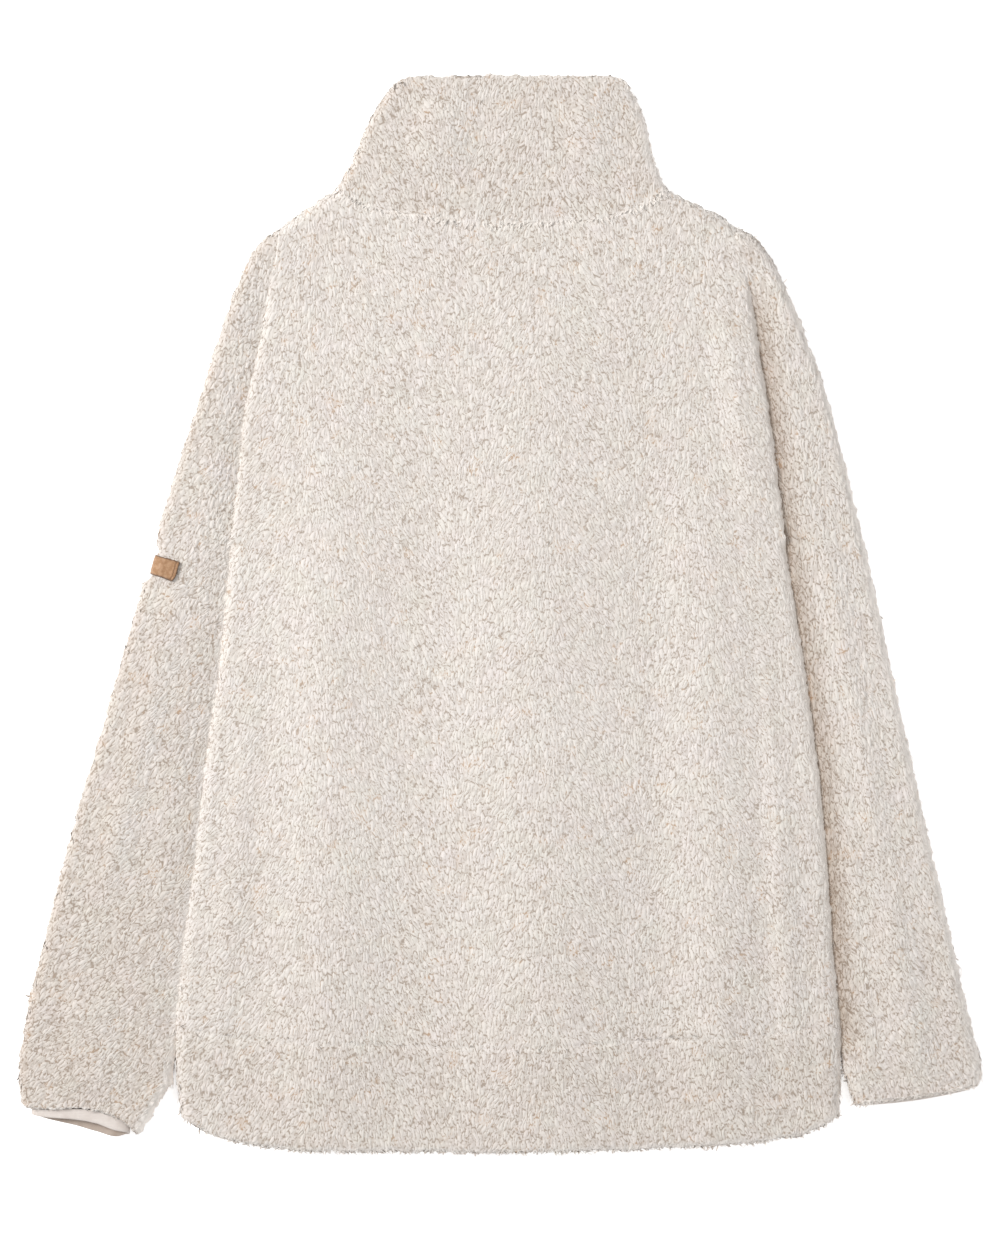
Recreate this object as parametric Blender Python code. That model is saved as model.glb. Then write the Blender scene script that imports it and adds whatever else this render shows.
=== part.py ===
"""Sherpa fleece jacket with a stand collar, laid flat on its front, back side up.

Metres. +X runs to the wearer's right, +Y to the collar, +Z up. The surface it lies on is Z = 0.
"""
import math
from collections import namedtuple

import bmesh
import bpy
import numpy as np

MM = 0.001

# Cloth
PILE_WALL = 8.0 * MM          # knitted ground with the pile on both sides
SEAM_GAP = 0.3 * MM           # between two sewn pieces, and between two layers
SLOT = 1.0 * MM               # inside a flat sleeve or collar, which is one wrapped piece
HALF = PILE_WALL + SLOT / 2   # from the middle of the flat garment to its outside
MIDDLE = HALF                 # height of the middle above the surface
FOLD_RISE = (0.0, 1.0 * MM, 3.2 * MM, 8.5 * MM, 18.0 * MM)   # columns next to a folded edge
RIM_RISE = (0.0, 0.9 * MM, 4.0 * MM)                         # rows next to an open edge
RIM_ROUND = PILE_WALL / 2     # an open edge is rounded over this length
RIM_LEAST = 0.25              # share of the wall left at the very edge

# Body
UNDERARM_Y = 50 * MM
ARM_GAP = 0.6 * MM            # between the body's side and the sleeve beside it
NECK_COLUMNS = 12             # between the two neck points, beside those next to the folds
BODY_ROWS = 24
HEM_ROWS = 3
FRONT_COLUMNS = 4
FRONT_ROWS = 10

# Zip at the centre front, closed
ZIP_X = 6 * MM
ZIP_GAP = 11 * MM             # between the two fronts
ZIP_TOP = 350 * MM
ZIP_LOW = -398 * MM
TAPE_THICK = 1.0 * MM
TAPE_HEIGHT = 6.6 * MM
CHAIN_WIDE = 6.0 * MM
CHAIN_HEIGHT = 4.6 * MM
SLIDER_WIDE = 9.0 * MM
SLIDER_LONG = 12.0 * MM
SLIDER_HEIGHT = 3.4 * MM
LUG_THICK = 1.4 * MM
LUG_LONG = 4.0 * MM
LUG_LOW = 0.8 * MM
PIN_HEIGHT = 1.9 * MM
PIN_RADIUS = 0.5 * MM
EYE_RADIUS = 1.1 * MM
PULL_WIDE = 5.4 * MM
PULL_LONG = 26.0 * MM
PULL_THICK = 1.2 * MM

# Cuff bindings
BIND_WALL = 2.5 * MM
BIND_SLOT = 3.8 * MM          # the mouth gapes a little
Band = namedtuple("Band", "share near far")
BANDS = {
    "left": (
        Band(0.0, 5.0, 6.0), Band(0.15, 10.0, 15.5), Band(0.35, 9.6, 16.5), Band(0.6, 7.8, 12.5),
        Band(1.0, 5.0, 5.0),
    ),
    "right": (Band(0.0, 2.6, 2.6), Band(0.5, 3.2, 3.6), Band(1.0, 2.6, 2.6)),
}

# Label over the outer fold of the left sleeve
LABEL_Y = 36.5 * MM
LABEL_LONG = 14.4 * MM        # along the sleeve
LABEL_FLAT = 20.0 * MM        # from the fold onto the top side
LABEL_THICK = 1.0 * MM
LABEL_GAP = 0.4 * MM
LABEL_SLACK = 5 * MM          # it bridges the start of the ridge beside the fold
LABEL_UNDER = math.radians(-48)

# The body's two side edges, and above the underarm its two armhole seams
Side = namedtuple("Side", "y left right")
SIDES = (
    Side(-376, -238.0, 255.0),
    Side(-340, -241.5, 255.5),
    Side(-312, -240.0, 253.0),
    Side(-244, -233.5, 247.0),
    Side(-177, -224.5, 242.3),
    Side(-108, -217.5, 235.5),
    Side(-50, -208.5, 227.5),
    Side(50, -198.5, 212.0),
    Side(100, -191.5, 205.5),
    Side(150, -187.0, 199.0),
    Side(196, -176.5, 191.5),
    Side(240, -169.0, 184.5),
    Side(289, -163.0, 177.0),
)

# The body's edge lies over each sleeve and presses its pile down beside it: the heights between
# which it does, the share of the upper wall pressed away, and how far out
Press = namedtuple("Press", "low high share reach")
PRESSES = {
    "left": Press(-345, 262, 0.35, 26),
    "right": Press(-352, 268, 0.62, 25),
}
EDGE_ROUND = 6 * MM           # the body's edge rounds over above a pressed sleeve

# Edges that run across the garment
Point = namedtuple("Point", "x y")
SHOULDERS_AND_NECK = (
    Point(-163, 289), Point(-154, 296), Point(-123, 317), Point(-106, 309), Point(-89, 302),
    Point(-14, 291), Point(76, 295), Point(105, 304), Point(127, 316), Point(143, 309),
    Point(170, 295), Point(177, 285),
)
FRONT_NECK = (
    Point(-163, 289), Point(-154, 296), Point(-123, 317), Point(-108, 288), Point(-70, 262),
    Point(6, 250), Point(80, 262), Point(114, 288), Point(127, 316), Point(143, 309),
    Point(170, 295), Point(177, 285),
)
HEM_SEAM = (
    Point(-240, -311), Point(-202, -318), Point(-125, -323), Point(0, -327), Point(118, -320),
    Point(190, -318), Point(223, -312), Point(253, -310),
)
HEM_EDGE = (
    Point(-238, -377), Point(-224, -386), Point(-208, -392), Point(-183, -398), Point(-145, -402),
    Point(0, -403), Point(95, -401), Point(142, -399), Point(198, -395), Point(227, -390),
    Point(240, -384), Point(255, -375),
)
COLLAR_TOP = (
    Point(-82, 394), Point(-71, 401), Point(-58, 402), Point(10, 403), Point(84, 402),
    Point(94, 399), Point(100, 391),
)
COLLAR_FRONT_TOP = (
    Point(-82, 394), Point(-40, 372), Point(6, 352), Point(52, 370), Point(100, 391),
)
NECK_LEFT = -123
NECK_RIGHT = 127
NECK_TURN = 3 * MM            # the collar's inner side starts this far above the neck seam

# The collar's two folded edges, from the neck seam up
CollarSide = namedtuple("CollarSide", "share left right")
COLLAR_SIDES = (
    CollarSide(0.00, -123.0, 127.0),
    CollarSide(0.25, -111.5, 118.0),
    CollarSide(0.50, -103.5, 113.5),
    CollarSide(0.75, -94.5, 108.5),
    CollarSide(1.00, -82.0, 100.0),
)
COLLAR_ROWS = 7

# Sleeve sections from the armhole to the cuff: the point on the outer fold, and the height of
# the point on the inner edge with its distance out from the body's side
Ring = namedtuple("Ring", "outer_x outer_y inner_y inner_out")
LEFT_SLEEVE = (
    Ring(-163.0, 289.0, 50.0, 0.0),
    Ring(-184.0, 271.0, 33.0, 0.0),
    Ring(-206.0, 217.0, 5.0, 0.0),
    Ring(-224.0, 160.0, -35.0, 0.0),
    Ring(-246.0, 92.0, -85.0, 0.0),
    Ring(-272.0, 0.0, -160.0, 0.0),
    Ring(-298.0, -90.0, -230.0, 0.0),
    Ring(-320.0, -165.0, -290.0, 0.0),
    Ring(-339.0, -241.0, -332.0, 0.0),
    Ring(-352.5, -296.0, -352.0, 4.0),
    Ring(-359.0, -340.0, -370.0, 17.5),
    Ring(-357.0, -369.0, -391.0, 31.0),
)
RIGHT_SLEEVE = (
    Ring(177.0, 285.0, 50.0, 0.0),
    Ring(200.5, 271.0, 33.0, 0.0),
    Ring(225.5, 217.0, 5.0, 0.0),
    Ring(246.0, 160.0, -30.0, 0.0),
    Ring(264.0, 90.0, -85.0, 0.0),
    Ring(285.0, -2.0, -160.0, 0.0),
    Ring(304.0, -90.0, -225.0, 0.0),
    Ring(320.5, -165.0, -280.0, 0.0),
    Ring(338.0, -241.0, -318.0, 0.0),
    Ring(350.0, -296.0, -338.0, 1.0),
    Ring(360.0, -336.0, -350.0, 4.0),
    Ring(360.0, -352.0, -366.0, 10.0),
)
SLEEVE_RINGS = 20
SLEEVE_COLUMNS = 9
SEAM_BOW_FADE = 0.35          # share of the sleeve over which the armhole's curve fades out
CUFF_BOW_LEFT = 11 * MM       # the left cuff edge arches towards the elbow, nearer its inner end
CUFF_BOW_RIGHT = -2 * MM      # the right one sags a little

# Soft ridges between the troughs of the cloth: two ends, height and half width
Fold = namedtuple("Fold", "x_low y_low x_high y_high rise half")
FOLDS = (
    Fold(-130, -420, -122, 130, 5.5, 60),
    Fold(38, -420, 28, 90, 7.0, 88),
    Fold(168, -420, 152, 110, 4.2, 46),
    Fold(222, -330, 206, -20, 3.0, 20),
    Fold(206, -20, 168, 235, 3.0, 20),
    Fold(-214, -320, -182, 40, 2.0, 20),
    Fold(20, 40, 30, 235, 2.5, 90),
    Fold(-300, -215, -238, 60, 3.5, 24),
    Fold(-304, -360, -304, -285, 3.0, 34),
    Fold(288, -190, 244, 70, 3.0, 20),
    Fold(312, -345, 290, -210, 3.5, 26),
    Fold(-50, 330, -38, 385, 3.0, 34),
    Fold(74, 335, 64, 385, 3.0, 26),
)
FOLD_CLEAR = 10 * MM          # a ridge stays this far from a folded edge
FOLD_BLEND = 30 * MM

Finish = namedtuple("Finish", "red green blue rough metal")
FLEECE = Finish(0.77, 0.71, 0.65, 0.95, 0.0)
BINDING = Finish(0.63, 0.57, 0.53, 0.75, 0.0)
LEATHER = Finish(0.51, 0.29, 0.17, 0.6, 0.0)
TAPE = Finish(0.60, 0.54, 0.49, 0.8, 0.0)
CHAIN = Finish(0.50, 0.44, 0.39, 0.5, 0.0)
METAL = Finish(0.55, 0.50, 0.45, 0.35, 1.0)


def smooth_read(keys, values, at):
    """Catmull-Rom reading of a short table, in metres."""
    keys = np.asarray(keys, float)
    values = np.asarray(values, float)
    slopes = np.gradient(values, keys)
    at = np.clip(np.asarray(at, float), keys[0], keys[-1])
    index = np.clip(np.searchsorted(keys, at, side="right") - 1, 0, len(keys) - 2)
    width = keys[index + 1] - keys[index]
    part = (at - keys[index]) / width
    low = (1 + 2 * part) * (1 - part) ** 2 * values[index]
    low += part * (1 - part) ** 2 * width * slopes[index]
    high = part ** 2 * (3 - 2 * part) * values[index + 1]
    high += part ** 2 * (part - 1) * width * slopes[index + 1]
    return low + high


def edge_y(points, x):
    """Height of an edge that runs across the garment."""
    keys = [p.x * MM for p in points]
    return np.interp(x, keys, [p.y * MM for p in points])


def side_x(which, y):
    """Place of the body's side edge or armhole seam at a height."""
    keys = [row.y * MM for row in SIDES]
    return smooth_read(keys, [getattr(row, which) * MM for row in SIDES], y)


def stations(length, count, start=(), end=()):
    """Shares of a length: fixed steps next to each end and even ones between them."""
    first = list(start) or [0.0]
    last = [length - step for step in reversed(list(end) or [0.0])]
    between = np.linspace(first[-1], last[0], count + 1)
    return np.array(first[:-1] + list(between) + last[1:]) / length


def distance_to(x, y, line):
    """Distance in plan from points to a polyline."""
    best = np.full(np.shape(x), np.inf)
    for (ax, ay), (bx, by) in zip(line[:-1], line[1:]):
        dx = bx - ax
        dy = by - ay
        part = np.clip(((x - ax) * dx + (y - ay) * dy) / (dx * dx + dy * dy), 0, 1)
        best = np.minimum(best, np.hypot(x - ax - part * dx, y - ay - part * dy))
    return best


def smoothstep(value):
    value = np.clip(value, 0, 1)
    return value * value * (3 - 2 * value)


def round_over(distance, radius):
    """Quarter-round from 0 at an edge to 1 at the radius."""
    reach = 1 - np.clip(distance / radius, 0, 1)
    return np.sqrt(np.clip(1 - reach ** 2, 0, 1))


def lift(x, y, distance):
    """How far the ridges of the cloth raise the upper layer."""
    total = np.zeros(np.shape(x))
    for fold in FOLDS:
        ax = fold.x_low * MM
        ay = fold.y_low * MM
        dx = fold.x_high * MM - ax
        dy = fold.y_high * MM - ay
        along = ((x - ax) * dx + (y - ay) * dy) / (dx * dx + dy * dy)
        across = np.abs((x - ax) * dy - (y - ay) * dx) / math.hypot(dx, dy) / (fold.half * MM)
        taper = smoothstep((along + 0.15) / 0.4) * smoothstep((1.15 - along) / 0.4)
        total += fold.rise * MM * taper * (1 - smoothstep(across))
    return total * smoothstep((distance - FOLD_CLEAR) / FOLD_BLEND)


def pressed(which, x, y):
    """Share of the sleeve's upper wall that the body's edge presses away."""
    press = PRESSES[which]
    away = np.abs(x - side_x(which, y)) / (press.reach * MM)
    ends = smoothstep((y - press.low * MM) / (40 * MM)) * smoothstep((press.high * MM - y) / (40 * MM))
    return press.share * (1 - smoothstep(away)) * ends


def edge_drop(x, y):
    """How far the back rounds down at its armhole edges, above a pressed sleeve."""
    drop = np.zeros(np.shape(x))
    for which in PRESSES:
        away = np.abs(x - side_x(which, y))
        held = pressed(which, side_x(which, y), y) * smoothstep((y - UNDERARM_Y) / (25 * MM))
        drop += HALF * held * (1 - round_over(away, EDGE_ROUND))
    return drop


def side_line(which):
    heights = np.linspace(SIDES[0].y * MM, UNDERARM_Y, 24)
    return list(zip(side_x(which, heights), heights))


def shoulder_line(low, high):
    return [(p.x * MM, p.y * MM) for p in SHOULDERS_AND_NECK if low <= p.x <= high]


def collar_line(which):
    shares = np.linspace(0, 1, 9)
    x = collar_x(which, shares)
    return list(zip(x, collar_fold_y(which, shares)))


def collar_x(which, share):
    keys = [row.share for row in COLLAR_SIDES]
    return smooth_read(keys, [getattr(row, which) * MM for row in COLLAR_SIDES], share)


def collar_fold_y(which, share):
    index = 0 if which == "left" else -1
    low = (SHOULDERS_AND_NECK[2] if which == "left" else SHOULDERS_AND_NECK[8]).y * MM
    return low + (COLLAR_TOP[index].y * MM - low) * share


BODY_FOLDS = (
    side_line("left"),
    side_line("right"),
    shoulder_line(-163, NECK_LEFT),
    shoulder_line(NECK_RIGHT, 177),
)


def nearest(x, y, lines):
    return np.min([distance_to(x, y, line) for line in lines], axis=0)


def layer(x, y, lines, upper):
    """Outer and inner height of one flat layer of the body."""
    distance = nearest(x, y, lines)
    thick = HALF - SEAM_GAP / 2
    bulge = np.maximum(round_over(distance, HALF), 0.12) * thick
    if upper:
        rise = lift(x, y, distance)
        inner = MIDDLE + SEAM_GAP / 2 + rise
        return inner + bulge - edge_drop(x, y), inner
    inner = np.full(np.shape(x), MIDDLE - SEAM_GAP / 2)
    return inner - bulge, inner


def grid(x, y, z):
    return np.stack([x, y, z], axis=-1)


def round_rim(outer, inner, distance):
    """Round the wall over at an open edge. The distance to it is given for each point."""
    share = np.maximum(round_over(distance, RIM_ROUND), RIM_LEAST)[..., None]
    middle = (outer + inner) / 2
    return middle + (outer - middle) * share, middle + (inner - middle) * share


def material(name, finish):
    made = bpy.data.materials.get(name)
    if made:
        return made
    made = bpy.data.materials.new(name)
    made.use_nodes = True
    shader = made.node_tree.nodes["Principled BSDF"]
    shader.inputs["Base Color"].default_value = (finish.red, finish.green, finish.blue, 1)
    shader.inputs["Roughness"].default_value = finish.rough
    shader.inputs["Metallic"].default_value = finish.metal
    return made


def add_object(name, work, finish, origin=(0, 0, 0)):
    bmesh.ops.recalc_face_normals(work, faces=work.faces)
    mesh = bpy.data.meshes.new(name)
    work.to_mesh(mesh)
    work.free()
    made = bpy.data.objects.new(name, mesh)
    made.location = origin
    mesh.materials.append(material(name + "_finish", finish))
    bpy.context.scene.collection.objects.link(made)
    return made


def wall(name, outer, inner, finish, closed=False):
    """One closed solid from two matching grids of points, rows by columns."""
    work = bmesh.new()
    rows, columns = outer.shape[:2]
    skins = [[[work.verts.new(p) for p in row] for row in skin] for skin in (outer, inner)]
    turns = columns if closed else columns - 1
    for skin in skins:
        for r in range(rows - 1):
            for c in range(turns):
                d = (c + 1) % columns
                work.faces.new((skin[r][c], skin[r][d], skin[r + 1][d], skin[r + 1][c]))
    out, into = skins
    for r in (0, rows - 1):
        for c in range(turns):
            d = (c + 1) % columns
            work.faces.new((out[r][c], out[r][d], into[r][d], into[r][c]))
    if not closed:
        for c in (0, columns - 1):
            for r in range(rows - 1):
                work.faces.new((out[r][c], out[r + 1][c], into[r + 1][c], into[r][c]))
    return add_object(name, work, finish)


def across_body(u, v, low, high, left_y, right_y):
    """Plan points between two cross edges, from the left side (u = 0) to the right (u = 1)."""
    left = side_x("left", left_y[0] + (left_y[1] - left_y[0]) * v)
    right = side_x("right", right_y[0] + (right_y[1] - right_y[0]) * v)
    x = left + (right - left) * u
    y0 = edge_y(low, x[0]) + SEAM_GAP / 2
    y1 = edge_y(high, x[-1]) - SEAM_GAP / 2
    return x, y0 + (y1 - y0) * v


def half_body(u, v, low, high, which, side_y):
    """Plan points of a front between its side (u = 0) and the zip (u = 1)."""
    side = side_x(which, side_y[0] + (side_y[1] - side_y[0]) * v)
    stop = ZIP_X + (-ZIP_GAP if which == "left" else ZIP_GAP) / 2
    x = side + (stop - side) * u
    y0 = edge_y(low, x[0]) + SEAM_GAP / 2
    y1 = edge_y(high, x[-1]) - SEAM_GAP / 2
    return x, y0 + (y1 - y0) * v


def mesh_shares(columns, rows):
    return np.meshgrid(columns, rows)


def back_neck_shares():
    """Shared by the back and the collar, so that their seam edges match."""
    return stations((NECK_RIGHT - NECK_LEFT) * MM, NECK_COLUMNS, FOLD_RISE, FOLD_RISE)


def front_neck_shares():
    """From the neck point to the zip, shared by a front and the collar."""
    return stations((ZIP_X - ZIP_GAP / 2 - NECK_LEFT * MM), FRONT_COLUMNS, FOLD_RISE)


def neck_columns():
    """Column shares of the back, with one on each shoulder's end at the neck."""
    left = SIDES[-1].left
    wide = SIDES[-1].right - left
    low = (NECK_LEFT - left) / wide
    high = (NECK_RIGHT - left) / wide
    first = stations(low * wide * MM, 2, FOLD_RISE) * low
    middle = low + (high - low) * back_neck_shares()
    last = high + stations((1 - high) * wide * MM, 2, (), FOLD_RISE) * (1 - high)
    return np.concatenate([first, middle[1:], last[1:]])


def front_columns(which):
    """Column shares of a front, with one on the shoulder's end at the neck."""
    side = getattr(SIDES[-1], which)
    neck = NECK_LEFT if which == "left" else NECK_RIGHT
    stop = (ZIP_X + (-ZIP_GAP if which == "left" else ZIP_GAP) / 2) / MM
    turn = (neck - side) / (stop - side)
    first = stations(abs(neck - side) * MM, 2, FOLD_RISE) * turn
    return np.concatenate([first, turn + (1 - turn) * front_neck_shares()[1:]])


def build_back():
    u, v = mesh_shares(neck_columns(), stations(600 * MM, BODY_ROWS, (), FOLD_RISE))
    sides = (HEM_SEAM[0].y * MM, SIDES[-1].y * MM)
    right = (HEM_SEAM[-1].y * MM, SHOULDERS_AND_NECK[-1].y * MM)
    x, y = across_body(u, v, HEM_SEAM, SHOULDERS_AND_NECK, sides, right)
    outer, inner = layer(x, y, BODY_FOLDS, True)
    wall("back", grid(x, y, outer), grid(x, y, inner), FLEECE)


def build_hem_back():
    rows = stations(70 * MM, HEM_ROWS, RIM_RISE)
    u, v = mesh_shares(neck_columns(), rows)
    left = (HEM_EDGE[0].y * MM, HEM_SEAM[0].y * MM)
    right = (HEM_EDGE[-1].y * MM, HEM_SEAM[-1].y * MM)
    x, y = across_body(u, v, HEM_EDGE, HEM_SEAM, left, right)
    outer, inner = layer(x, y, BODY_FOLDS, True)
    rim = y - y[0]
    wall("hem_back", *round_rim(grid(x, y, outer), grid(x, y, inner), rim), FLEECE)


def build_front(which):
    u, v = mesh_shares(front_columns(which), stations(600 * MM, FRONT_ROWS, (), FOLD_RISE))
    low = HEM_SEAM[0] if which == "left" else HEM_SEAM[-1]
    high = SHOULDERS_AND_NECK[0] if which == "left" else SHOULDERS_AND_NECK[-1]
    x, y = half_body(u, v, HEM_SEAM, FRONT_NECK, which, (low.y * MM, high.y * MM))
    outer, inner = layer(x, y, BODY_FOLDS, False)
    wall("front_" + which, grid(x, y, outer), grid(x, y, inner), FLEECE)


def build_hem_front(which):
    u, v = mesh_shares(front_columns(which), stations(70 * MM, HEM_ROWS, RIM_RISE))
    low = HEM_EDGE[0] if which == "left" else HEM_EDGE[-1]
    high = HEM_SEAM[0] if which == "left" else HEM_SEAM[-1]
    x, y = half_body(u, v, HEM_EDGE, HEM_SEAM, which, (low.y * MM, high.y * MM))
    outer, inner = layer(x, y, BODY_FOLDS, False)
    rim = y - y[0]
    skins = round_rim(grid(x, y, outer), grid(x, y, inner), rim)
    wall("hem_front_" + which, *skins, FLEECE)


def collar_plan(u, v, high, low, start, stop, seam):
    x = start + (stop - start) * u
    y0 = edge_y(low, x[0]) + seam
    y1 = edge_y(high, x[-1])
    return x, y0 + (y1 - y0) * v


def build_collar():
    """A flat tube with one opening, at the zip."""
    rows = stations(90 * MM, COLLAR_ROWS, FOLD_RISE[:3], RIM_RISE)
    wide = back_neck_shares()
    half = 1 - front_neck_shares()[::-1]
    lines = (collar_line("left"), collar_line("right"))
    gap = ZIP_GAP / 2
    skins = []
    for inset in (0.0, PILE_WALL):
        parts = []
        depth = HALF if inset == 0 else SLOT / 2
        seam = SEAM_GAP / 2 if inset == 0 else NECK_TURN
        for side, shares in (("left", half), ("top", wide), ("right", half[::-1])):
            u, v = mesh_shares(shares, rows)
            left = collar_x("left", v) + inset
            right = collar_x("right", v) - inset
            if side == "top":
                x, y = collar_plan(u, v, COLLAR_TOP, SHOULDERS_AND_NECK, left, right, seam)
            elif side == "left":
                edge = np.full(v.shape, ZIP_X - gap)
                x, y = collar_plan(u, v, COLLAR_FRONT_TOP, FRONT_NECK, edge, left, seam)
            else:
                edge = np.full(v.shape, ZIP_X + gap)
                x, y = collar_plan(u, v, COLLAR_FRONT_TOP, FRONT_NECK, edge, right, seam)
            distance = nearest(x, y, lines)
            near = np.clip(distance - inset, 0, None)
            bulge = round_over(near, depth) * depth
            end = np.minimum(u, 1 - u) if side == "top" else 1 - u
            bulge = np.where(end < 1e-6, 0, bulge)
            if side == "top":
                z = MIDDLE + bulge + lift(x, y, distance)
            else:
                z = MIDDLE - bulge
            part = grid(x, y, z)
            rim = np.broadcast_to(y[-1], y.shape) - y
            parts.append((part, rim))
        left_part, top_part, right_part = parts
        points = np.concatenate([left_part[0][:, :-1], top_part[0], right_part[0][:, 1:]], axis=1)
        rims = np.concatenate([left_part[1][:, :-1], top_part[1], right_part[1][:, 1:]], axis=1)
        skins.append(points)
    outer, inner = round_rim(skins[0], skins[1], rims)
    wall("collar", outer, inner, FLEECE)


def sleeve_edges(table, which, share):
    """Outer fold and inner edge points of a sleeve at shares of its length."""
    keys = np.linspace(0, 1, len(table))
    sign = -1 if which == "left" else 1
    outer_x = smooth_read(keys, [ring.outer_x * MM for ring in table], share)
    outer_y = smooth_read(keys, [ring.outer_y * MM for ring in table], share)
    inner_y = np.interp(share, keys, [ring.inner_y * MM for ring in table])
    away = np.interp(share, keys, [ring.inner_out * MM for ring in table])
    inner_x = side_x(which, inner_y) + sign * (ARM_GAP + away)
    return outer_x + sign * ARM_GAP, outer_y, inner_x, inner_y


def cuff_bow(which, u):
    """How far the cuff's edge arches towards the elbow."""
    if which == "left":
        return CUFF_BOW_LEFT * 6.75 * u * (1 - u) ** 2
    return CUFF_BOW_RIGHT * 4 * u * (1 - u)


def sleeve_plan(table, which, u, share):
    """Plan points from the inner edge (u = 0) to the outer fold (u = 1)."""
    outer_x, outer_y, inner_x, inner_y = sleeve_edges(table, which, share)
    x = inner_x + (outer_x - inner_x) * u
    y = inner_y + (outer_y - inner_y) * u
    sign = -1 if which == "left" else 1
    first = sleeve_edges(table, which, np.zeros(1))
    seam_y = first[3] + (first[1] - first[3]) * u
    chord = first[2] + (first[0] - first[2]) * u
    bow = side_x(which, seam_y) + sign * ARM_GAP - chord
    x = x + bow * np.clip(1 - share / SEAM_BOW_FADE, 0, 1) ** 2
    return x, y + cuff_bow(which, u) * smoothstep((share - 0.8) / 0.2)


def sleeve_lines(table, which):
    shares = np.linspace(0, 1, 45)
    outer_x, outer_y, inner_x, inner_y = sleeve_edges(table, which, shares)
    return [list(zip(outer_x, outer_y)), list(zip(inner_x, inner_y))]


def tube_skin(table, which, columns, shares, inset, depth, lines):
    """One closed skin of a flat tube: over the top and back underneath."""
    u, v = mesh_shares(columns, shares)
    outer_x, outer_y, inner_x, inner_y = sleeve_edges(table, which, v)
    length = np.hypot(outer_x - inner_x, outer_y - inner_y)
    trim = inset / length
    x, y = sleeve_plan(table, which, trim + (1 - 2 * trim) * u, v)
    distance = nearest(x, y, lines)
    near = np.clip(distance - inset * 0.8, 0, None)
    bulge = np.maximum(round_over(near, depth), 0.05) * depth
    kept = 1 - pressed(which, x, y)
    top = grid(x, y, MIDDLE + (bulge + lift(x, y, distance)) * kept)
    under = grid(x, y, MIDDLE - bulge)
    for end in (0, -1):
        top[:, end, 2] = MIDDLE
    return np.concatenate([top, under[:, -2:0:-1]], axis=1)


def build_sleeve(which):
    table = LEFT_SLEEVE if which == "left" else RIGHT_SLEEVE
    columns = stations(110 * MM, SLEEVE_COLUMNS, FOLD_RISE, FOLD_RISE)
    shares = stations(560 * MM, SLEEVE_RINGS, (), RIM_RISE)
    lines = sleeve_lines(table, which)
    outer = tube_skin(table, which, columns, shares, 0.0, HALF, lines)
    inner = tube_skin(table, which, columns, shares, PILE_WALL, SLOT / 2, lines)
    rim = np.broadcast_to(((1 - shares) * 560 * MM)[:, None], outer.shape[:2])
    wall("sleeve_" + which, *round_rim(outer, inner, rim), FLEECE, closed=True)


def build_binding(which):
    """Smooth band round the mouth of a cuff."""
    table = LEFT_SLEEVE if which == "left" else RIGHT_SLEEVE
    columns = stations(90 * MM, SLEEVE_COLUMNS, FOLD_RISE[:3], FOLD_RISE[:3])
    x, y = sleeve_plan(table, which, 0.08 + 0.84 * columns, np.ones(len(columns)))
    keys = [band.share for band in BANDS[which]]
    near = smooth_read(keys, [band.near * MM for band in BANDS[which]], columns)
    far = smooth_read(keys, [band.far * MM for band in BANDS[which]], columns)
    ends = np.minimum(columns, 1 - columns)
    bulge = round_over(ends, 0.14)
    skins = []
    for depth, shrink in ((BIND_SLOT / 2 + BIND_WALL, 0.0), (BIND_SLOT / 2, BIND_WALL)):
        centre = x.mean()
        px = x + np.sign(centre - x) * shrink * (1 - smoothstep(ends / 0.1))
        rows = []
        for part in (0.0, 0.5, 1.0):
            above = grid(px, y - SEAM_GAP - near * part, MIDDLE + bulge * depth)
            below = grid(px, y - SEAM_GAP - far * part, MIDDLE - bulge * depth)
            rows.append(np.concatenate([above, below[-2:0:-1]], axis=0))
        skins.append(np.array(rows))
    wall("cuff_binding_" + which, skins[0], skins[1], BINDING, closed=True)


def build_label():
    """Leather patch that wraps the outer fold of the left sleeve."""
    line = sleeve_lines(LEFT_SLEEVE, "left")[0]
    xs = np.array([p[0] for p in line])[::-1]
    ys = np.array([p[1] for p in line])[::-1]
    y = LABEL_Y + LABEL_LONG * np.linspace(-0.5, 0.5, 5)
    x = np.interp(y, ys, xs)
    slope = (x[-1] - x[0]) / (y[-1] - y[0])
    out = np.array([-1, slope]) / math.hypot(1, slope)
    turn = np.linspace(LABEL_UNDER, math.pi / 2, 9)
    skins = []
    for radius in (HALF + LABEL_GAP + LABEL_THICK, HALF + LABEL_GAP):
        reach = list(-HALF + radius * np.cos(turn))
        height = list(MIDDLE + radius * np.sin(turn))
        reach += [-HALF - (LABEL_FLAT - HALF) * part for part in (0.33, 0.67, 1.0)]
        height += [MIDDLE + radius] * 3
        skin = grid(
            x[:, None] + np.array(reach) * out[0],
            y[:, None] + np.array(reach) * out[1],
            np.broadcast_to(height, (len(y), len(height))).copy(),
        )
        distance = distance_to(skin[..., 0], skin[..., 1], line)
        skin[..., 2] += lift(skin[..., 0], skin[..., 1], distance + LABEL_SLACK)
        skins.append(skin)
    wall("label", skins[0], skins[1], LEATHER)


def box(name, low, high, finish):
    work = bmesh.new()
    bmesh.ops.create_cube(work, size=1)
    for vert in work.verts:
        for axis in range(3):
            middle = (low[axis] + high[axis]) / 2
            vert.co[axis] = middle + vert.co[axis] * (high[axis] - low[axis])
    return add_object(name, work, finish)


def build_tape(which):
    sign = -1 if which == "left" else 1
    near = ZIP_X + sign * SEAM_GAP / 2
    far = ZIP_X + sign * (ZIP_GAP / 2 - SEAM_GAP)
    low = (min(near, far), ZIP_LOW, TAPE_HEIGHT)
    high = (max(near, far), ZIP_TOP, TAPE_HEIGHT + TAPE_THICK)
    box("zip_tape_" + which, low, high, TAPE)


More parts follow.
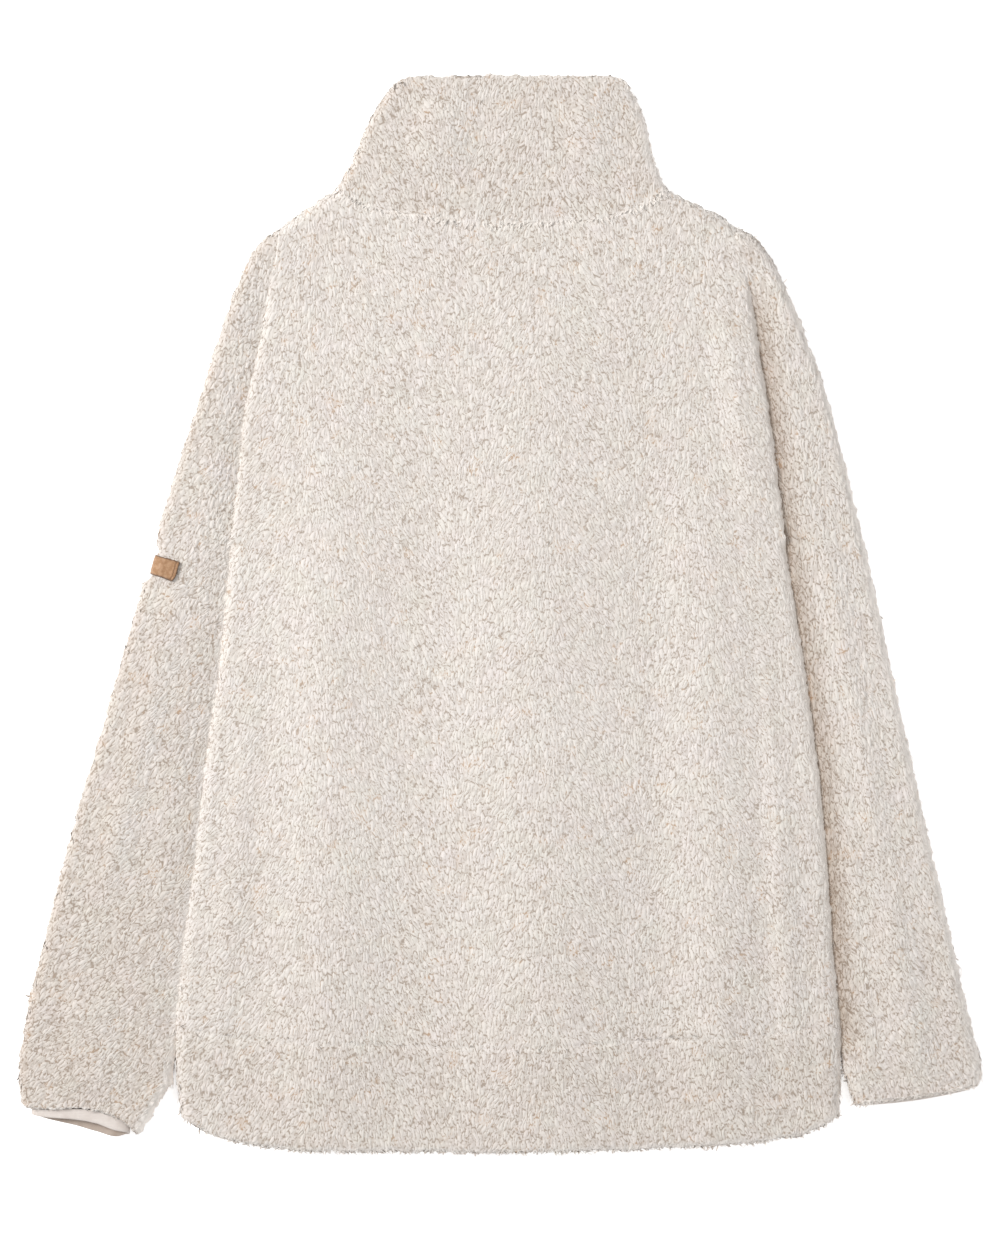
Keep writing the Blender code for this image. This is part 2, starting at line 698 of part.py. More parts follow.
def build_chain():
    top = ZIP_TOP - SLIDER_LONG - 2 * SEAM_GAP
    low = (ZIP_X - CHAIN_WIDE / 2, ZIP_LOW, CHAIN_HEIGHT)
    high = (ZIP_X + CHAIN_WIDE / 2, top, TAPE_HEIGHT - SEAM_GAP)
    box("zip_chain", low, high, CHAIN)


def profile_prism(name, outline, low_x, high_x, finish):
    """A solid of one constant section in the YZ plane."""
    work = bmesh.new()
    ends = []
    for x in (low_x, high_x):
        ends.append([work.verts.new((x, y, z)) for y, z in outline])
    count = len(outline)
    for k in range(count):
        work.faces.new((ends[0][k], ends[0][(k + 1) % count], ends[1][(k + 1) % count], ends[1][k]))
    work.faces.new(ends[0])
    work.faces.new(ends[1])
    return add_object(name, work, finish)


def hinge_y():
    return ZIP_TOP - SLIDER_LONG / 2


def build_slider():
    """Slider body with two lugs and the pin between them."""
    y = hinge_y()
    top = TAPE_HEIGHT - SEAM_GAP
    low = (ZIP_X - SLIDER_WIDE / 2, y - SLIDER_LONG / 2, SLIDER_HEIGHT)
    high = (ZIP_X + SLIDER_WIDE / 2, y + SLIDER_LONG / 2, top)
    body = box("zip_slider", low, high, METAL)
    inside = PULL_WIDE / 2 + SEAM_GAP
    for sign in (-1, 1):
        xs = sorted((ZIP_X + sign * inside, ZIP_X + sign * (inside + LUG_THICK)))
        lug_low = (xs[0], y - LUG_LONG / 2, LUG_LOW)
        lug_high = (xs[1], y + LUG_LONG / 2, SLIDER_HEIGHT + 1 * MM)
        join(body, box("lug", lug_low, lug_high, METAL))
    turn = [k * math.pi / 6 for k in range(12)]
    pin = [(y + PIN_RADIUS * math.cos(a), PIN_HEIGHT + PIN_RADIUS * math.sin(a)) for a in turn]
    reach = inside + LUG_THICK / 2
    join(body, profile_prism("pin", pin, ZIP_X - reach, ZIP_X + reach, METAL))


def join(body, tool):
    """Fuse one object into another and remove it."""
    union = body.modifiers.new("union", "BOOLEAN")
    union.operation = "UNION"
    union.solver = "EXACT"
    union.object = tool
    view = bpy.context.evaluated_depsgraph_get()
    fused = bpy.data.meshes.new_from_object(body.evaluated_get(view))
    body.modifiers.remove(union)
    body.data = fused
    bpy.data.objects.remove(tool)


def build_pull():
    """Pull tab: an open hook round the pin and a flat blade. Its origin is on the pin."""
    outer = EYE_RADIUS
    inner = PIN_RADIUS + SEAM_GAP
    half = PULL_THICK / 2
    start = math.asin(half / outer)
    turn = np.linspace(math.pi + start, 3 * math.pi - start, 19)
    ring = [(outer * math.cos(a), outer * math.sin(a)) for a in turn]
    blade = [(-PULL_LONG, half), (-PULL_LONG, -half)]
    hole = [(inner * math.cos(a), inner * math.sin(a)) for a in np.linspace(0, 2 * math.pi, 13)[:-1]]
    work = bmesh.new()
    ends = []
    for x in (-PULL_WIDE / 2, PULL_WIDE / 2):
        rim = [work.verts.new((x, y, z)) for y, z in ring + blade]
        eye = [work.verts.new((x, y, z)) for y, z in hole]
        edges = [work.edges.new((loop[k], loop[(k + 1) % len(loop)])) for loop in (rim, eye) for k in range(len(loop))]
        bmesh.ops.triangle_fill(work, edges=edges, use_beauty=True)
        ends.append((rim, eye))
    for first, second in zip(ends[0], ends[1]):
        count = len(first)
        for k in range(count):
            d = (k + 1) % count
            work.faces.new((first[k], first[d], second[d], second[k]))
    add_object("zip_pull", work, METAL, (ZIP_X, hinge_y(), PIN_HEIGHT))


def main():
    for made in list(bpy.data.objects):
        bpy.data.objects.remove(made)
    build_back()
    build_hem_back()
    build_collar()
    for which in ("left", "right"):
        build_front(which)
        build_hem_front(which)
        build_sleeve(which)
        build_binding(which)
        build_tape(which)
    build_label()
    build_chain()
    build_slider()
    build_pull()


main()
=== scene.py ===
import math
from collections import namedtuple

import bmesh
import bpy
import numpy as np
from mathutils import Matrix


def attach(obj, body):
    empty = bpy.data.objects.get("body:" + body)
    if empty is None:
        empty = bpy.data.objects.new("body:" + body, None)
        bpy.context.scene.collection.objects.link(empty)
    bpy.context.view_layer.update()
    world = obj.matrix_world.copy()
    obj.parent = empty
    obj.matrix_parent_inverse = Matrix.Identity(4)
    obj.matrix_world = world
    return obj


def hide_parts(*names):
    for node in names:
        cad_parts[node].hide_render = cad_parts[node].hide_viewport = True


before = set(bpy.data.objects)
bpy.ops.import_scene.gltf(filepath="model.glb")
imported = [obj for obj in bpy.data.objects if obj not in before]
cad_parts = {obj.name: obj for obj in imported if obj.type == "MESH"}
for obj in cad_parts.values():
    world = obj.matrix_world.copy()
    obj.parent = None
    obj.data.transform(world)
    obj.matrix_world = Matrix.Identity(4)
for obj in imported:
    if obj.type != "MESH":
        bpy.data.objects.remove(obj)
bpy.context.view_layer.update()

MM = 0.001


def table(kind, rows):
    return tuple(kind(*row) for row in rows)


# The form of the solids, as in the part's source
PILE_WALL = 8.0 * MM
SEAM_GAP = 0.3 * MM
SLOT = 1.0 * MM
HALF = PILE_WALL + SLOT / 2
MIDDLE = HALF
RIM_ROUND = PILE_WALL / 2
UNDERARM_Y = 50 * MM
ARM_GAP = 0.6 * MM
ZIP_X = 6 * MM
ZIP_GAP = 11 * MM
NECK_LEFT = -123
NECK_RIGHT = 127
SHOULDER_LEFT = -163
SHOULDER_RIGHT = 177
SEAM_BOW_FADE = 0.35
CUFF_BOW_LEFT = 11 * MM
CUFF_BOW_RIGHT = -2 * MM
FOLD_CLEAR = 10 * MM
FOLD_BLEND = 30 * MM

Press = namedtuple("Press", "low high share reach")
PRESSES = {
    "left": Press(-345, 262, 0.35, 26),
    "right": Press(-352, 268, 0.62, 25),
}
EDGE_ROUND = 6 * MM
LABEL_X = -247 * MM
LABEL_Y = 36.5 * MM
LABEL_HALF = 13 * MM
LABEL_LONG = 14.4 * MM
LABEL_FLAT = 20.0 * MM
LABEL_THICK = 1.0 * MM
LABEL_GAP = 0.4 * MM
LABEL_SLACK = 5 * MM
LABEL_UNDER = math.radians(-48)
LABEL_SEAM = 3.0 * MM          # its stitch line, from each short edge
LABEL_STITCHES = 6             # in each line
LABEL_PINCH = 4.0 * MM         # how far it pulls the sleeve's outer fold in

BIND_WALL = 2.5 * MM
BIND_SLOT = 3.8 * MM
Band = namedtuple("Band", "share near far")
BANDS = {
    "left": (
        Band(0.0, 5.0, 6.0), Band(0.15, 10.0, 15.5), Band(0.35, 9.6, 16.5), Band(0.6, 7.8, 12.5),
        Band(1.0, 5.0, 5.0),
    ),
    "right": (Band(0.0, 2.6, 2.6), Band(0.5, 3.2, 3.6), Band(1.0, 2.6, 2.6)),
}

ZIP_TOP = 350 * MM
ZIP_LOW = -398 * MM
TAPE_HEIGHT = 6.6 * MM
CHAIN_HEIGHT = 4.6 * MM
SLIDER_LONG = 12.0 * MM
TOOTH_PITCH = 2.2 * MM
TOOTH = ((-0.7, 0.5), (0.3, 0.62), (1.2, 0.34), (2.4, 0.5))   # half widths across, in mm

Side = namedtuple("Side", "y left right")
SIDES = table(Side, (
    (-376, -238, 255), (-340, -241.5, 255.5), (-312, -240, 253), (-244, -233.5, 247),
    (-177, -224.5, 242.3), (-108, -217.5, 235.5), (-50, -208.5, 227.5), (50, -198.5, 212),
    (100, -191.5, 205.5), (150, -187, 199), (196, -176.5, 191.5), (240, -169, 184.5),
    (289, -163, 177),
))
Point = namedtuple("Point", "x y")
SHOULDERS_AND_NECK = table(Point, (
    (-163, 289), (-154, 296), (-123, 317), (-106, 309), (-89, 302), (-14, 291),
    (76, 295), (105, 304), (127, 316), (143, 309), (170, 295), (177, 285),
))
FRONT_NECK = table(Point, (
    (-163, 289), (-154, 296), (-123, 317), (-108, 288), (-70, 262), (6, 250),
    (80, 262), (114, 288), (127, 316), (143, 309), (170, 295), (177, 285),
))
HEM_SEAM = table(Point, (
    (-240, -311), (-202, -318), (-125, -323), (0, -327), (118, -320), (190, -318),
    (223, -312), (253, -310),
))
HEM_EDGE = table(Point, (
    (-238, -377), (-224, -386), (-208, -392), (-183, -398), (-145, -402), (0, -403),
    (95, -401), (142, -399), (198, -395), (227, -390), (240, -384), (255, -375),
))
COLLAR_TOP = table(Point, (
    (-82, 394), (-71, 401), (-58, 402), (10, 403), (84, 402), (94, 399),
    (100, 391),
))
COLLAR_FRONT_TOP = table(Point, (
    (-82, 394), (-40, 372), (6, 352), (52, 370), (100, 391),
))
CollarSide = namedtuple("CollarSide", "share left right")
COLLAR_SIDES = table(CollarSide, (
    (0.00, -123, 127), (0.25, -111.5, 118), (0.50, -103.5, 113.5), (0.75, -94.5, 108.5),
    (1.00, -82, 100),
))
Ring = namedtuple("Ring", "outer_x outer_y inner_y inner_out")
LEFT_SLEEVE = table(Ring, (
    (-163, 289, 50, 0), (-184, 271, 33, 0), (-206, 217, 5, 0), (-224, 160, -35, 0),
    (-246, 92, -85, 0), (-272, 0, -160, 0), (-298, -90, -230, 0), (-320, -165, -290, 0),
    (-339, -241, -332, 0), (-352.5, -296, -352, 4), (-359, -340, -370, 17.5), (-357, -369, -391, 31),
))
RIGHT_SLEEVE = table(Ring, (
    (177, 285, 50, 0), (200.5, 271, 33, 0), (225.5, 217, 5, 0), (246, 160, -30, 0),
    (264, 90, -85, 0), (285, -2, -160, 0), (304, -90, -225, 0), (320.5, -165, -280, 0),
    (338, -241, -318, 0), (350, -296, -338, 1), (360, -336, -350, 4), (360, -352, -366, 10),
))
Fold = namedtuple("Fold", "x_low y_low x_high y_high rise half")
FOLDS = table(Fold, (
    (-130, -420, -122, 130, 5.5, 60), (38, -420, 28, 90, 7, 88), (168, -420, 152, 110, 4.2, 46),
    (222, -330, 206, -20, 3, 20), (206, -20, 168, 235, 3, 20), (-214, -320, -182, 40, 2, 20),
    (20, 40, 30, 235, 2.5, 90), (-300, -215, -238, 60, 3.5, 24), (-304, -360, -304, -285, 3, 34),
    (288, -190, 244, 70, 3, 20), (312, -345, 290, -210, 3.5, 26), (-50, 330, -38, 385, 3, 34),
    (74, 335, 64, 385, 3, 26),
))

PANEL_SIDES = {
    "back": ("left", "right"), "front_left": ("left", "zip_left"), "front_right": ("zip_right", "right"),
}

# Lengths and fineness of the shells
BODY_LONG = 600 * MM
HEM_LONG = 78 * MM
SLEEVE_LONG = 560 * MM
COLLAR_LONG = 95 * MM
CUFF_WIDE = 90 * MM
BAND_DEEP = 9 * MM
STEP = 1.85 * MM               # between points of a shell seen from above
STEP_SLEEVE = 1.9 * MM         # round a sleeve
STEP_COLLAR = 1.8 * MM         # round the collar
STEP_UNDER = 2.8 * MM          # of the fronts, which face the surface
STEP_RIM = 1.6 * MM            # from an open rim of a tube inwards
SAMPLES = 500                  # along a row before it is spaced evenly
TURN_STEPS = 8                 # points round a fold or a rim
RETURN = 11 * MM               # how far a shell goes on inside an open rim
ROUND_STEPS = HALF * (1 - np.cos(np.linspace(0, math.pi / 2, TURN_STEPS + 1)))
RIM_STEPS = RIM_ROUND * (1 - np.cos(np.linspace(0, math.pi / 2, 6)))

SURFACES = {}                  # each shell's points, normals and shade, for the locks that grow on it

# The curled pile
CURL = (4.2 * MM, 6.6 * MM, 4.4 * MM)     # size of one curl across, along and through
PILE_DEPTH = 0.62 * MM
FINE_DEPTH = 0.15 * MM
EDGE_DEPTH = 2.0               # how much deeper the pile is round the outline, as a share
EDGE_OUT = 1.5 * MM
EDGE_TUFT = 1.1 * MM           # how far its tufts stand out or in, each way
SHOULDER_PUFF = Point(183, 284)
SHOULDER_OUT = 4.5 * MM        # the pile stands out where the right armhole meets the shoulder
WARP = 2.6 * MM
SEAM_REACH = 2.4 * MM          # how far a panel's pile leans over its seam
SKIRT = 5 * MM                 # how far a sleeve's shell goes on under the body's
PUSH = 3.2 * MM                # how far the pile of body and sleeve reach into each other
PUSH_WIDE = 14 * MM
FINE_SIZE = 2.2 * MM           # unevenness of the curls, of the whole pile and of its outline
PATCH_SIZE = 38 * MM
TUFT_SIZE = 6.5 * MM
SEAM_DIP = 0.6 * MM            # how deep and how far from it a seam draws the pile in
SEAM_WIDE = 3.5 * MM

# Painted shade: how much darker the pile is painted beside the body's edge, where the body shades the
# sleeve, and over each shell
Shade = namedtuple("Shade", "low high share reach")
SHADES = {
    "left": Shade(-255, 262, 0.2, 34),
    "right": Shade(-350, 262, 1.2, 25),
}
RIM_PAINTED_LIGHT = 1.0                 # painted light: how much lighter the pile is painted on faces turned from the light
EDGE_PAINTED_LIGHT = 0.2                # and painted light on every steep face
# Painted shade over a whole shell, by the shell's name
PAINTED_SHELL_SHADE = {
    "sleeve_left_shell": 0.13, "collar_shell": 0.16, "hem_back_shell": 0.10, "sleeve_right_shell": 0.04,
}
# How far the light is evened out over the ridges
EVENED = {"sleeve_left_shell": 0.8, "collar_shell": 0.6, "sleeve_right_shell": 0.3}

# Which way the pile lies: degrees from straight down, towards the right side, by place across
Lie = namedtuple("Lie", "x lean")
GRAIN_WIDE = 760 * MM
CLUMP_SIZE = (0.012, 0.018, 0.02)
STRAND_SIZE = (0.0025, 0.0080, 0.014)
GRAIN = table(Lie, (
    (-330, -45), (-245, -40), (-170, -26), (-112, 15), (-52, 22), (6, -20), (66, 34), (124, -12),
    (182, 30), (235, 8), (290, 28),
))

# Loose locks of the pile, open underneath
LOCK_LONG = 5.5 * MM
LOCK_WIDE = 1.5 * MM
LOCK_RISE = 0.45 * MM
LOCK_PARTS = (0.0, 0.38, 0.75, 1.0)
LOCK_TAPER = (0.7, 1.0, 0.75, 0.0)
SEAM_LOCKS = 4 * MM            # from the neck seam to the locks that hide it
Locks = namedtuple("Locks", "surface count edge seam rim out")
LOCKS = (
    Locks("back_shell", 900, 260, 480, 0, 0.1),
    Locks("hem_back_shell", 200, 700, 0, 500, 0.3),
    Locks("collar_shell", 160, 260, 520, 0, 0.12),
    Locks("sleeve_left_shell", 400, 420, 0, 0, 0.08),
    Locks("sleeve_right_shell", 400, 420, 0, 1300, 0.3),
)

# Flat size of each cut piece: width and length of its box, and its area
Cut = namedtuple("Cut", "wide long area")

# The photo's frame in pixels, and the camera over it
PHOTO_WIDE = 1000
PHOTO_HIGH = 1250
PIXEL = 0.75 * MM              # length that one pixel shows
ZERO_PIXEL = Point(499, 613.5)
CAMERA_HEIGHT = 2.4
SENSOR = 36                    # its width, in mm


def smooth_read(keys, values, at):
    """Catmull-Rom reading of a short table."""
    keys = np.asarray(keys, float)
    values = np.asarray(values, float)
    slopes = np.gradient(values, keys)
    at = np.clip(np.asarray(at, float), keys[0], keys[-1])
    index = np.clip(np.searchsorted(keys, at, side="right") - 1, 0, len(keys) - 2)
    width = keys[index + 1] - keys[index]
    part = (at - keys[index]) / width
    low = (1 + 2 * part) * (1 - part) ** 2 * values[index]
    low += part * (1 - part) ** 2 * width * slopes[index]
    high = part ** 2 * (3 - 2 * part) * values[index + 1]
    high += part ** 2 * (part - 1) * width * slopes[index + 1]
    return low + high


def edge_y(points, x):
    return np.interp(x, [p.x * MM for p in points], [p.y * MM for p in points])


def side_x(which, y):
    keys = [row.y * MM for row in SIDES]
    return smooth_read(keys, [getattr(row, which) * MM for row in SIDES], y)


def stations(length, step, start=(), end=()):
    """Shares of a length: fixed steps next to each end and even ones between them."""
    first = list(start) if len(start) else [0.0]
    last = [length - s for s in reversed(list(end) if len(end) else [0.0])]
    count = max(1, round((last[0] - first[-1]) / step))
    between = np.linspace(first[-1], last[0], count + 1)
    return np.array(first[:-1] + list(between) + last[1:]) / length


def distance_to(x, y, line):
    best = np.full(np.shape(x), np.inf)
    for (ax, ay), (bx, by) in zip(line[:-1], line[1:]):
        dx = bx - ax
        dy = by - ay
        part = np.clip(((x - ax) * dx + (y - ay) * dy) / (dx * dx + dy * dy), 0, 1)
        best = np.minimum(best, np.hypot(x - ax - part * dx, y - ay - part * dy))
    return best


def smoothstep(value):
    value = np.clip(value, 0, 1)
    return value * value * (3 - 2 * value)


def round_over(distance, radius):
    reach = 1 - np.clip(distance / radius, 0, 1)
    return np.sqrt(np.clip(1 - reach ** 2, 0, 1))


def window(y, low, high, fade=40 * MM):
    """1 between two heights, fading to 0 at them."""
    return smoothstep((y - low) / fade) * smoothstep((high - y) / fade)


def lift(x, y, distance):
    total = np.zeros(np.shape(x))
    for fold in FOLDS:
        ax = fold.x_low * MM
        ay = fold.y_low * MM
        dx = fold.x_high * MM - ax
        dy = fold.y_high * MM - ay
        along = ((x - ax) * dx + (y - ay) * dy) / (dx * dx + dy * dy)
        across = np.abs((x - ax) * dy - (y - ay) * dx) / math.hypot(dx, dy) / (fold.half * MM)
        taper = smoothstep((along + 0.15) / 0.4) * smoothstep((1.15 - along) / 0.4)
        total += fold.rise * MM * taper * (1 - smoothstep(across))
    return total * smoothstep((distance - FOLD_CLEAR) / FOLD_BLEND)


def pressed(which, x, y):
    """Share of the sleeve's upper wall that the body's edge presses away."""
    press = PRESSES[which]
    away = np.abs(x - side_x(which, y)) / (press.reach * MM)
    return press.share * (1 - smoothstep(away)) * window(y, press.low * MM, press.high * MM)


def edge_drop(x, y):
    """How far the back rounds down at its armhole edges, above a pressed sleeve."""
    drop = np.zeros(np.shape(x))
    for which in PRESSES:
        away = np.abs(x - side_x(which, y))
        held = pressed(which, side_x(which, y), y) * smoothstep((y - UNDERARM_Y) / (25 * MM))
        drop += HALF * held * (1 - round_over(away, EDGE_ROUND))
    return drop


def side_line(which):
    heights = np.linspace(SIDES[0].y * MM, UNDERARM_Y, 24)
    return list(zip(side_x(which, heights), heights))


def cross_line(points, low=-math.inf, high=math.inf):
    return [(p.x * MM, p.y * MM) for p in points if low <= p.x <= high]


def armhole_line(which):
    heights = np.linspace(UNDERARM_Y, SIDES[-1].y * MM, 12)
    return list(zip(side_x(which, heights), heights))


def collar_x(which, share):
    keys = [row.share for row in COLLAR_SIDES]
    return smooth_read(keys, [getattr(row, which) * MM for row in COLLAR_SIDES], share)


def collar_line(which):
    shares = np.linspace(0, 1, 9)
    index = 0 if which == "left" else -1
    low = SHOULDERS_AND_NECK[2 if which == "left" else 8].y * MM
    y = low + (COLLAR_TOP[index].y * MM - low) * shares
    return list(zip(collar_x(which, shares), y))


BODY_FOLDS = (
    side_line("left"),
    side_line("right"),
    cross_line(SHOULDERS_AND_NECK, SHOULDER_LEFT, NECK_LEFT),
    cross_line(SHOULDERS_AND_NECK, NECK_RIGHT, SHOULDER_RIGHT),
)
NECK_SEAMS = (cross_line(SHOULDERS_AND_NECK, NECK_LEFT, NECK_RIGHT),)
HEM_SEAMS = (cross_line(HEM_SEAM),)
FRONT_SEAMS = (
    armhole_line("left"),
    armhole_line("right"),
    cross_line(FRONT_NECK, NECK_LEFT, NECK_RIGHT),
    *HEM_SEAMS,
)


def nearest(x, y, lines):
    return np.min([distance_to(x, y, line) for line in lines], axis=0)


def layer(x, y, upper):
    distance = nearest(x, y, BODY_FOLDS)
    thick = HALF - SEAM_GAP / 2
    bulge = np.maximum(round_over(distance, HALF), 0.05) * thick
    if upper:
        inner = MIDDLE + SEAM_GAP / 2 + lift(x, y, distance)
        return inner + bulge - edge_drop(x, y), inner
    inner = np.full(np.shape(x), MIDDLE - SEAM_GAP / 2)
    return inner - bulge, inner


def grid(x, y, z):
    return np.stack([x, y, z], axis=-1)


def round_rim(outer, inner, distance):
    share = round_over(distance, RIM_ROUND)[..., None]
    middle = (outer + inner) / 2
    return middle + (outer - middle) * share, middle + (inner - middle) * share


def even_rows(points, step):
    """Space the points of each row evenly along it."""
    gaps = np.linalg.norm(np.diff(points, axis=1), axis=-1)
    runs = np.concatenate([np.zeros((len(points), 1)), np.cumsum(gaps, axis=1)], axis=1)
    count = max(2, int(round(np.median(runs[:, -1]) / step)))
    made = np.empty((len(points), count + 1, points.shape[-1]))
    for r, run in enumerate(runs):
        at = np.linspace(0, run[-1], count + 1)
        for k in range(points.shape[-1]):
            made[r, :, k] = np.interp(at, run, points[r, :, k])
    return made


def random_cells(ix, iy, iz, seed):
    """Repeatable random numbers from 0 to 1 for whole-numbered cells."""
    n = ix.astype(np.uint32) * np.uint32(0x8DA6B343)
    n ^= iy.astype(np.uint32) * np.uint32(0xD8163841)
    n ^= iz.astype(np.uint32) * np.uint32(0xCB1AB31F)
    n ^= np.uint32(seed * 7919 + 17)
    n ^= n >> np.uint32(13)
    n = n * np.uint32(0x5BD1E995)
    n ^= n >> np.uint32(15)
    n = n * np.uint32(0x27D4EB2D)
    n ^= n >> np.uint32(13)
    return n.astype(np.float64) / 4294967296.0


def soft_noise(points, size, seed):
    """Value noise from -1 to 1."""
    at = points / size
    base = np.floor(at).astype(np.int64)
    part = smoothstep(at - base)
    total = 0.0
    for k in range(8):
        step = np.array([k & 1, k >> 1 & 1, k >> 2 & 1])
        share = np.prod(np.where(step, part, 1 - part), axis=-1)
        cell = base + step
        total = total + share * random_cells(cell[..., 0], cell[..., 1], cell[..., 2], seed)
    return total * 2 - 1


def curls(points, size, seed):
    """Nearest and second nearest distance to the scattered centre of a curl."""
    at = points / np.asarray(size)
    base = np.floor(at).astype(np.int64)
    first = np.full(points.shape[:-1], 9.0)
    second = first.copy()
    for dx in (-1, 0, 1):
        for dy in (-1, 0, 1):
            for dz in (-1, 0, 1):
                cell = base + np.array([dx, dy, dz])
                gap = 0.0
                for axis in range(3):
                    place = random_cells(cell[..., 0], cell[..., 1], cell[..., 2], seed + axis * 31)
                    gap = gap + (cell[..., axis] + place - at[..., axis]) ** 2
                closer = gap < first
                second = np.where(closer, first, np.minimum(second, gap))
                first = np.where(closer, gap, first)
    return np.sqrt(first), np.sqrt(second)


def pile(points):
    """Height of the pile from 0 in a parting to 1 on a curl."""
    warp = np.stack([soft_noise(points, 9 * MM, 3 + k) for k in range(3)], axis=-1) * WARP
    first, second = curls(points + warp, CURL, 11)
    big = smoothstep((second - first) / 0.42)
    dome = 1 - np.clip(first, 0, 1) ** 2 * 0.55
    small_a, small_b = curls(points + warp * 0.4, np.asarray(CURL) * 0.52, 23)
    small = smoothstep((small_b - small_a) / 0.5)
    return np.clip(0.62 * big * dome + 0.38 * small * (0.4 + 0.6 * big), 0, 1)


def normals_of(points, closed):
    """Unit normals of a grid of points, on the outer side."""
    if closed:
        across = np.roll(points, -1, axis=1) - np.roll(points, 1, axis=1)
    else:
        across = np.gradient(points, axis=1)
    along = np.gradient(points, axis=0)
    normal = np.cross(across, along)
    return normal / np.maximum(np.linalg.norm(normal, axis=-1, keepdims=True), 1e-12)


def shell(name, points, closed=False, seams=()):
    """A shell of pile over a grid of points. It stores the pile's height at each point."""
    normal = normals_of(points, closed)
    flip = np.sum(normal[..., 2] * (points[..., 2] - MIDDLE)) < 0
    if flip:
        normal = -normal
    height = pile(points)
    fine = soft_noise(points, FINE_SIZE, 71)
    patch = soft_noise(points, PATCH_SIZE, 5)
    dip = np.zeros(height.shape)
    if seams:
        away = nearest(points[..., 0], points[..., 1], seams)
        dip = SEAM_DIP * (1 - smoothstep(away / SEAM_WIDE)) * np.clip(normal[..., 2], 0, 1) ** 2
    steep = 1 - np.abs(normal[..., 2])
    down = PILE_DEPTH * (1 - height) * (1 + 0.1 * patch + EDGE_DEPTH * steep)
    down = down + FINE_DEPTH * (0.5 - 0.5 * fine) + dip
    puff = np.hypot(points[..., 0] - SHOULDER_PUFF.x * MM, points[..., 1] - SHOULDER_PUFF.y * MM)
    puff = SHOULDER_OUT * (1 - smoothstep(puff / (20 * MM)))
    down -= steep * (EDGE_OUT + puff + EDGE_TUFT * soft_noise(points, TUFT_SIZE, 83))
    moved = points - normal * down[..., None]
    held = smoothstep(np.abs(points[..., 2] - MIDDLE) / (3 * MM))
    moved[..., 2] = np.maximum(points[..., 2] + (moved[..., 2] - points[..., 2]) * held, 0)
    rows, columns = height.shape
    index = np.arange(rows * columns).reshape(rows, columns)
    turned = np.roll(index, -1, axis=1) if closed else index[:, 1:]
    kept = index if closed else index[:, :-1]
    quads = np.stack([kept[:-1], turned[:-1], turned[1:], kept[1:]], axis=-1).reshape(-1, 4)
    if flip:
        quads = quads[:, ::-1]
    shade = shade_of(name, points, normal)
    SURFACES[name] = (moved, normal, shade)
    return mesh_object(name, moved.reshape(-1, 3), quads, height, shade)


def shade_of(name, points, normal):
    """How much painted shade the pile gets at each point. Below 0 it gets painted light instead."""
    x, y = points[..., 0], points[..., 1]
    # painted shade over the whole shell
    base = PAINTED_SHELL_SHADE.get(name, 0.0)
    # painted shade, darker towards the hem
    total = base + 0.12 * smoothstep((-80 * MM - y) / (260 * MM))
    # painted light on faces turned from the key light and on steep faces, on faces that look up more
    # than down
    turned = np.clip(0.9 * normal[..., 0] - 0.8 * normal[..., 1], 0, 1)
    steep = 1 - np.abs(normal[..., 2])
    painted_light = RIM_PAINTED_LIGHT * turned ** 1.3 + EDGE_PAINTED_LIGHT * steep
    total = total - painted_light * smoothstep((normal[..., 2] + 0.5) / 0.7)
    # painted light along the neck seam
    if name in ("back_shell", "collar_shell"):
        total = total - 0.2 * (1 - smoothstep(nearest(x, y, NECK_SEAMS) / (7 * MM)))
    if name in EVENED:
        total = total - EVENED[name] * np.clip(normal[..., 0], -0.4, 0.4) * (normal[..., 2] > 0)
    if "sleeve" not in name:
        return total
    which = "left" if "left" in name else "right"
    # painted shade on the left sleeve, darker towards the cuff
    if which == "left":
        total = total + 0.13 * smoothstep((60 * MM - y) / (150 * MM))
    # painted shade on the sleeve beside the body's edge, where the body's edge shades it
    plan = SHADES[which]
    away = np.abs(x - side_x(which, y)) / (plan.reach * MM)
    ends = window(y, plan.low * MM, plan.high * MM, 50 * MM)
    return total + plan.share * (1 - smoothstep(away)) * ends


def comb(points, tilt):
    """Direction in which the pile lies, mostly towards the hem, in slow swirls."""
    swirl = 0.9 * soft_noise(points, 55 * MM, 41) + 0.9 * soft_noise(points, 14 * MM, 42)
    angle = -math.pi / 2 + swirl + tilt
    return np.stack([np.cos(angle), np.sin(angle), np.zeros(len(points))], axis=-1)


def lock_roots(plan, rng):
    """Where the locks of one shell stand: some all over it, more along its outline."""
    points, normal, shade = SURFACES[plan.surface]
    points = points.reshape(-1, 3)
    normal = normal.reshape(-1, 3)
    shade = shade.reshape(-1)
    above = (normal[:, 2] > 0.3) & (points[:, 2] > MIDDLE)
    edge = (np.abs(normal[:, 2]) < 0.6) & (points[:, 2] > 3 * MM)
    if plan.surface == "sleeve_left_shell":
        edge &= points[:, 1] > -352 * MM
    seam = above & (nearest(points[:, 0], points[:, 1], NECK_SEAMS) < SEAM_LOCKS)
    rim = (normal[:, 1] < -0.35) & (normal[:, 2] > 0) & (points[:, 2] > MIDDLE)
    spots = []
    for chosen, count in ((above, plan.count), (edge, plan.edge), (seam, plan.seam), (rim, plan.rim)):
        spots.append(rng.choice(np.flatnonzero(chosen), min(count, int(chosen.sum())), replace=False))
    spot = np.concatenate(spots)
    x, y = points[spot, 0], points[spot, 1]
    kept = (np.abs(x - LABEL_X) > LABEL_HALF) | (np.abs(y - LABEL_Y) > LABEL_HALF)
    spot = spot[kept]
    return points[spot], normal[spot], shade[spot]


